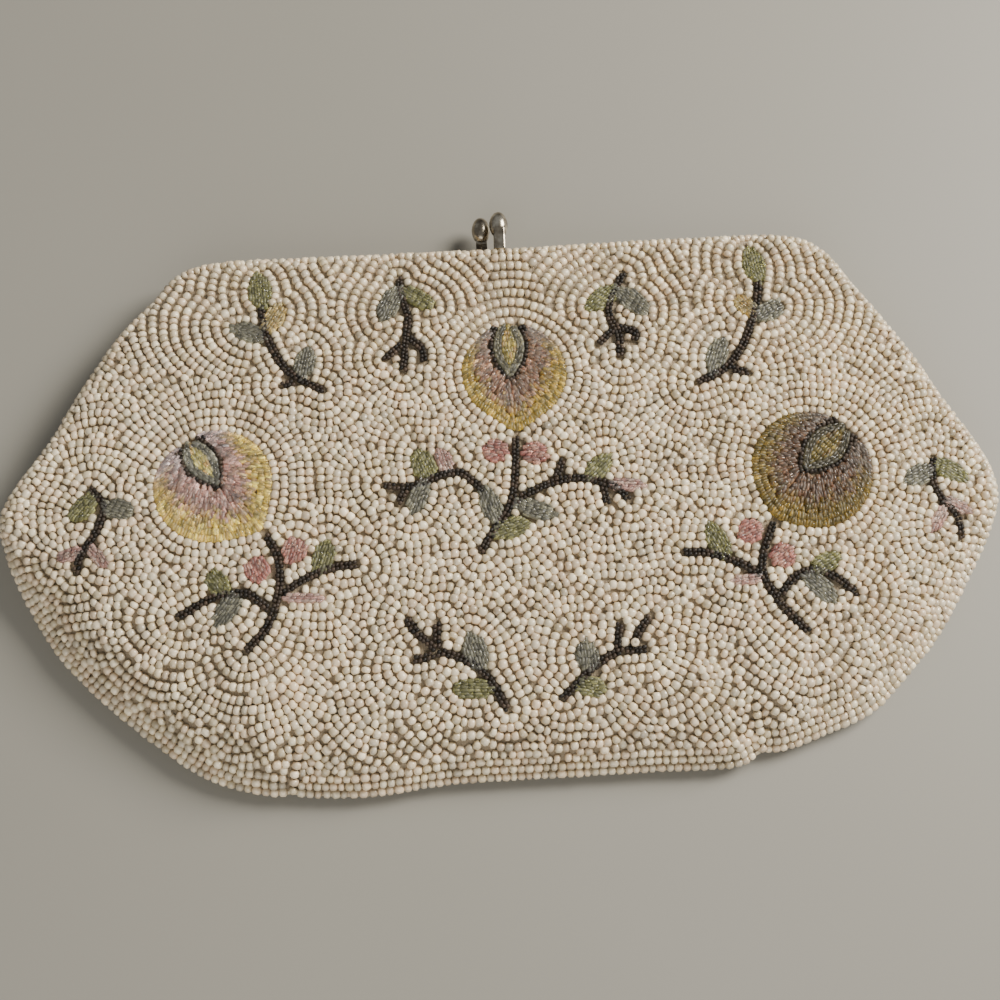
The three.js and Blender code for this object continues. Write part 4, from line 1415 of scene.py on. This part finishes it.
def make_centre(name, flower, seed, materials):
    """Grey-green glass round the flower's centre, and gold glass along its middle."""
    thread = Thread(seed)
    for inset in CENTRE_ROWS:
        line = centre_ring(flower, np.linspace(0, 360, FLOWER_STEPS), -inset)
        for at, heading in zip(*spaced(line, GLASS_STEP)):
            if in_flower(flower, at) and thread.is_free(at, CENTRE_ROOM):
                tint = shaded(CENTRE_GREENS, thread.dice, GLASS_SPREAD)
                thread.glass(at, heading, toned(tint, flower, thread.dice))
    length, width = (v - 2 * CENTRE_INNER for v in flower["centre"])
    axis = plan_way(math.radians(flower["tip"]))
    across = left_of(axis)
    middle = np.array(flower["at"]) + axis * centre_middle(flower) + across * flower["aside"]
    rows = round(length / GLASS_STEP)
    for row in range(rows):
        t = (row + 0.5) / rows
        for side in lane_sides(width * math.sin(math.pi * t)):
            at = middle + axis * length * (t - 0.5) + across * side
            if in_flower(flower, at):
                tint = shaded(CENTRE_GOLDS, thread.dice, GLASS_SPREAD)
                thread.glass(at, axis, toned(tint, flower, thread.dice))
    thread.piece(f"{name}_centre", materials, "centre_beads", f"{name}_centre")


def make_flowers(glass_materials, dark_material):
    for number, (name, flower) in enumerate(FLOWERS.items()):
        band = make_outline(name, flower, SEEDS["outlines"] + number, dark_material)
        make_petals(name, flower, SEEDS["petals"] + number, band, glass_materials)
        make_centre(name, flower, SEEDS["centres"] + number, glass_materials)


# Frame with its clasp
def frame_half(node, material):
    """The frame half from the frame of the bag, with a rounder knob on its tongue."""
    bm = bmesh.new()
    bm.from_mesh(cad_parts[node].data)
    bmesh.ops.remove_doubles(bm, verts=bm.verts, dist=SAME_POINT)
    x, y, z = (v * MM for v in KNOBS[node])
    everything = bm.verts[:] + bm.edges[:] + bm.faces[:]
    cut = bmesh.ops.bisect_plane(
        bm, geom=everything, plane_co=(0, y + KNOB_CUT * MM, 0), plane_no=(0, 1, 0), clear_outer=True,
    )
    bmesh.ops.holes_fill(bm, edges=[g for g in cut["geom_cut"] if isinstance(g, bmesh.types.BMEdge)])
    profile = [(x + r * MM, y + along * MM, z) for r, along in KNOB_PROFILE]
    spun(bm, profile, (x, y, z), (0, 1, 0), KNOB_SIDES)
    bmesh.ops.remove_doubles(bm, verts=bm.verts, dist=SAME_POINT)
    if node == STRAP_NODE:
        at = Matrix.Translation((x, y + STRAP_RISE * MM, z + STRAP_FRONT * MM))
        strap = bmesh.ops.create_cube(bm, size=MM, matrix=at @ Matrix.Diagonal((*STRAP_SIZE, 1)))
        edges = list({edge for vert in strap["verts"] for edge in vert.link_edges})
        bmesh.ops.bevel(
            bm, geom=edges, offset=STRAP_ROUND * MM, segments=2, affect="EDGES", profile=0.5, material=-1,
        )
    bmesh.ops.recalc_face_normals(bm, faces=bm.faces)
    for face in bm.faces:
        face.smooth = face.calc_center_median().y > y
    name = f"{node}_with_knob"
    settle(new_piece(name, finished(bm, name), material), "frame_metal", node)


# Floor, light and camera
CAMERA_AIM = (-3.56, 4.57, 0)
CAMERA_AZIMUTH = -8
CAMERA_ELEVATION = 72
CAMERA_ROLL = 5.688
CAMERA_DISTANCE = 356.98
CAMERA_LENS = 54
SENSOR = 36
NEAREST = 0.01
# Lights that point at the bag: place and size in metres, power, colour
LIGHTS = {
    "key": ((0.72, 0.36, 0.6), 0.45, 20.6, (1, 0.97, 0.92)),
    "fill": ((-0.15, -0.75, 0.5), 0.8, 5.2, (1, 0.98, 0.95)),
}
SKY = (0.96, 0.98, 1, 1)
SKY_STRENGTH = 0.25
FLOOR_HALF = 3


def make_floor():
    bm = bmesh.new()
    bmesh.ops.create_grid(bm, x_segments=1, y_segments=1, size=FLOOR_HALF)
    finish = Finish("pale_floor", Roughness=0.55)
    colour = finish.mix(finish.noise(scale=6), (*srgb(138, 134, 123), 1), (*srgb(146, 142, 131), 1))
    floor = new_piece("floor", finished(bm, "floor"), finish.paint(Base_Color=colour))


def make_lights():
    for name, (place, size, power, colour) in LIGHTS.items():
        light = bpy.data.lights.new(name, "AREA")
        light.size = size
        light.energy = power
        light.color = colour
        lamp = link(bpy.data.objects.new(name, light))
        lamp.location = place
        lamp.rotation_euler = Vector(place).to_track_quat("Z", "Y").to_euler()


def make_camera():
    azimuth, elevation, roll = (math.radians(v) for v in (CAMERA_AZIMUTH, CAMERA_ELEVATION, CAMERA_ROLL))
    back = Vector((math.sin(azimuth), -math.cos(azimuth), math.tan(elevation))).normalized()
    right = Vector((math.cos(azimuth), math.sin(azimuth), 0))
    up = back.cross(right)
    turned_right = right * math.cos(roll) + up * math.sin(roll)
    turned_up = up * math.cos(roll) - right * math.sin(roll)
    data = bpy.data.cameras.new("camera")
    data.lens = CAMERA_LENS
    data.sensor_width = SENSOR
    data.clip_start = NEAREST
    camera = link(bpy.data.objects.new("camera", data))
    turn = Matrix((turned_right, turned_up, back)).transposed().to_4x4()
    camera.matrix_world = Matrix.Translation((Vector(CAMERA_AIM) + back * CAMERA_DISTANCE) * MM) @ turn
    bpy.context.scene.camera = camera


def make_world():
    world = bpy.data.worlds.new("soft_fill")
    world.use_nodes = True
    world.node_tree.nodes["Background"].inputs["Color"].default_value = SKY
    world.node_tree.nodes["Background"].inputs["Strength"].default_value = SKY_STRENGTH
    bpy.context.scene.world = world


def make_bag():
    white = white_bead_finish()
    dark = dark_bead_finish()
    glass = [clear_bead_finish(), glass_ground_finish()]
    cloth = cloth_finish()
    metal = metal_finish()
    cloth_wall("front_cloth", front_face, FRONT_SINK, "front_panel", cloth)
    cloth_wall("back_cloth", back_face, BACK_SINK, "back_panel", cloth)
    front = BeadBed(motif_grid(), FRONT_GROWTH, FRONT_SPREAD, FRONT_RISE, SEEDS["front"])
    back = BeadBed(swirl_grid(), BACK_GROWTH, BACK_SPREAD, BACK_DROP, SEEDS["back"])
    for dart in DARTS:
        front.lay_ridge(*dart)
    for bed in (front, back):
        bed.lay_rows()
        for _ in range(SETTLE_ROUNDS):
            bed.fill_gaps()
            bed.relax()
    bead = Shape(BEAD_PROFILE, BEAD_SIDES, PAINTED_HOLE_SHADE)
    back_bead = Shape(BACK_BEAD_PROFILE, BACK_BEAD_SIDES)
    white_beads(front, "front_beads", front_face, bead, FRONT_SINK, FRONT_JITTER, white)
    white_beads(back, "back_beads", back_face, back_bead, BACK_SINK, BACK_JITTER, white)
    loose_beads(bead, white)
    make_sprays(glass, dark)
    make_buds(glass)
    make_flowers(glass, dark)
    for node in KNOBS:
        frame_half(node, metal)
    for rivet in RIVETS:
        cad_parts[rivet].data.materials.clear()
        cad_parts[rivet].data.materials.append(metal)


make_camera()
make_world()
make_floor()
make_lights()
make_bag()
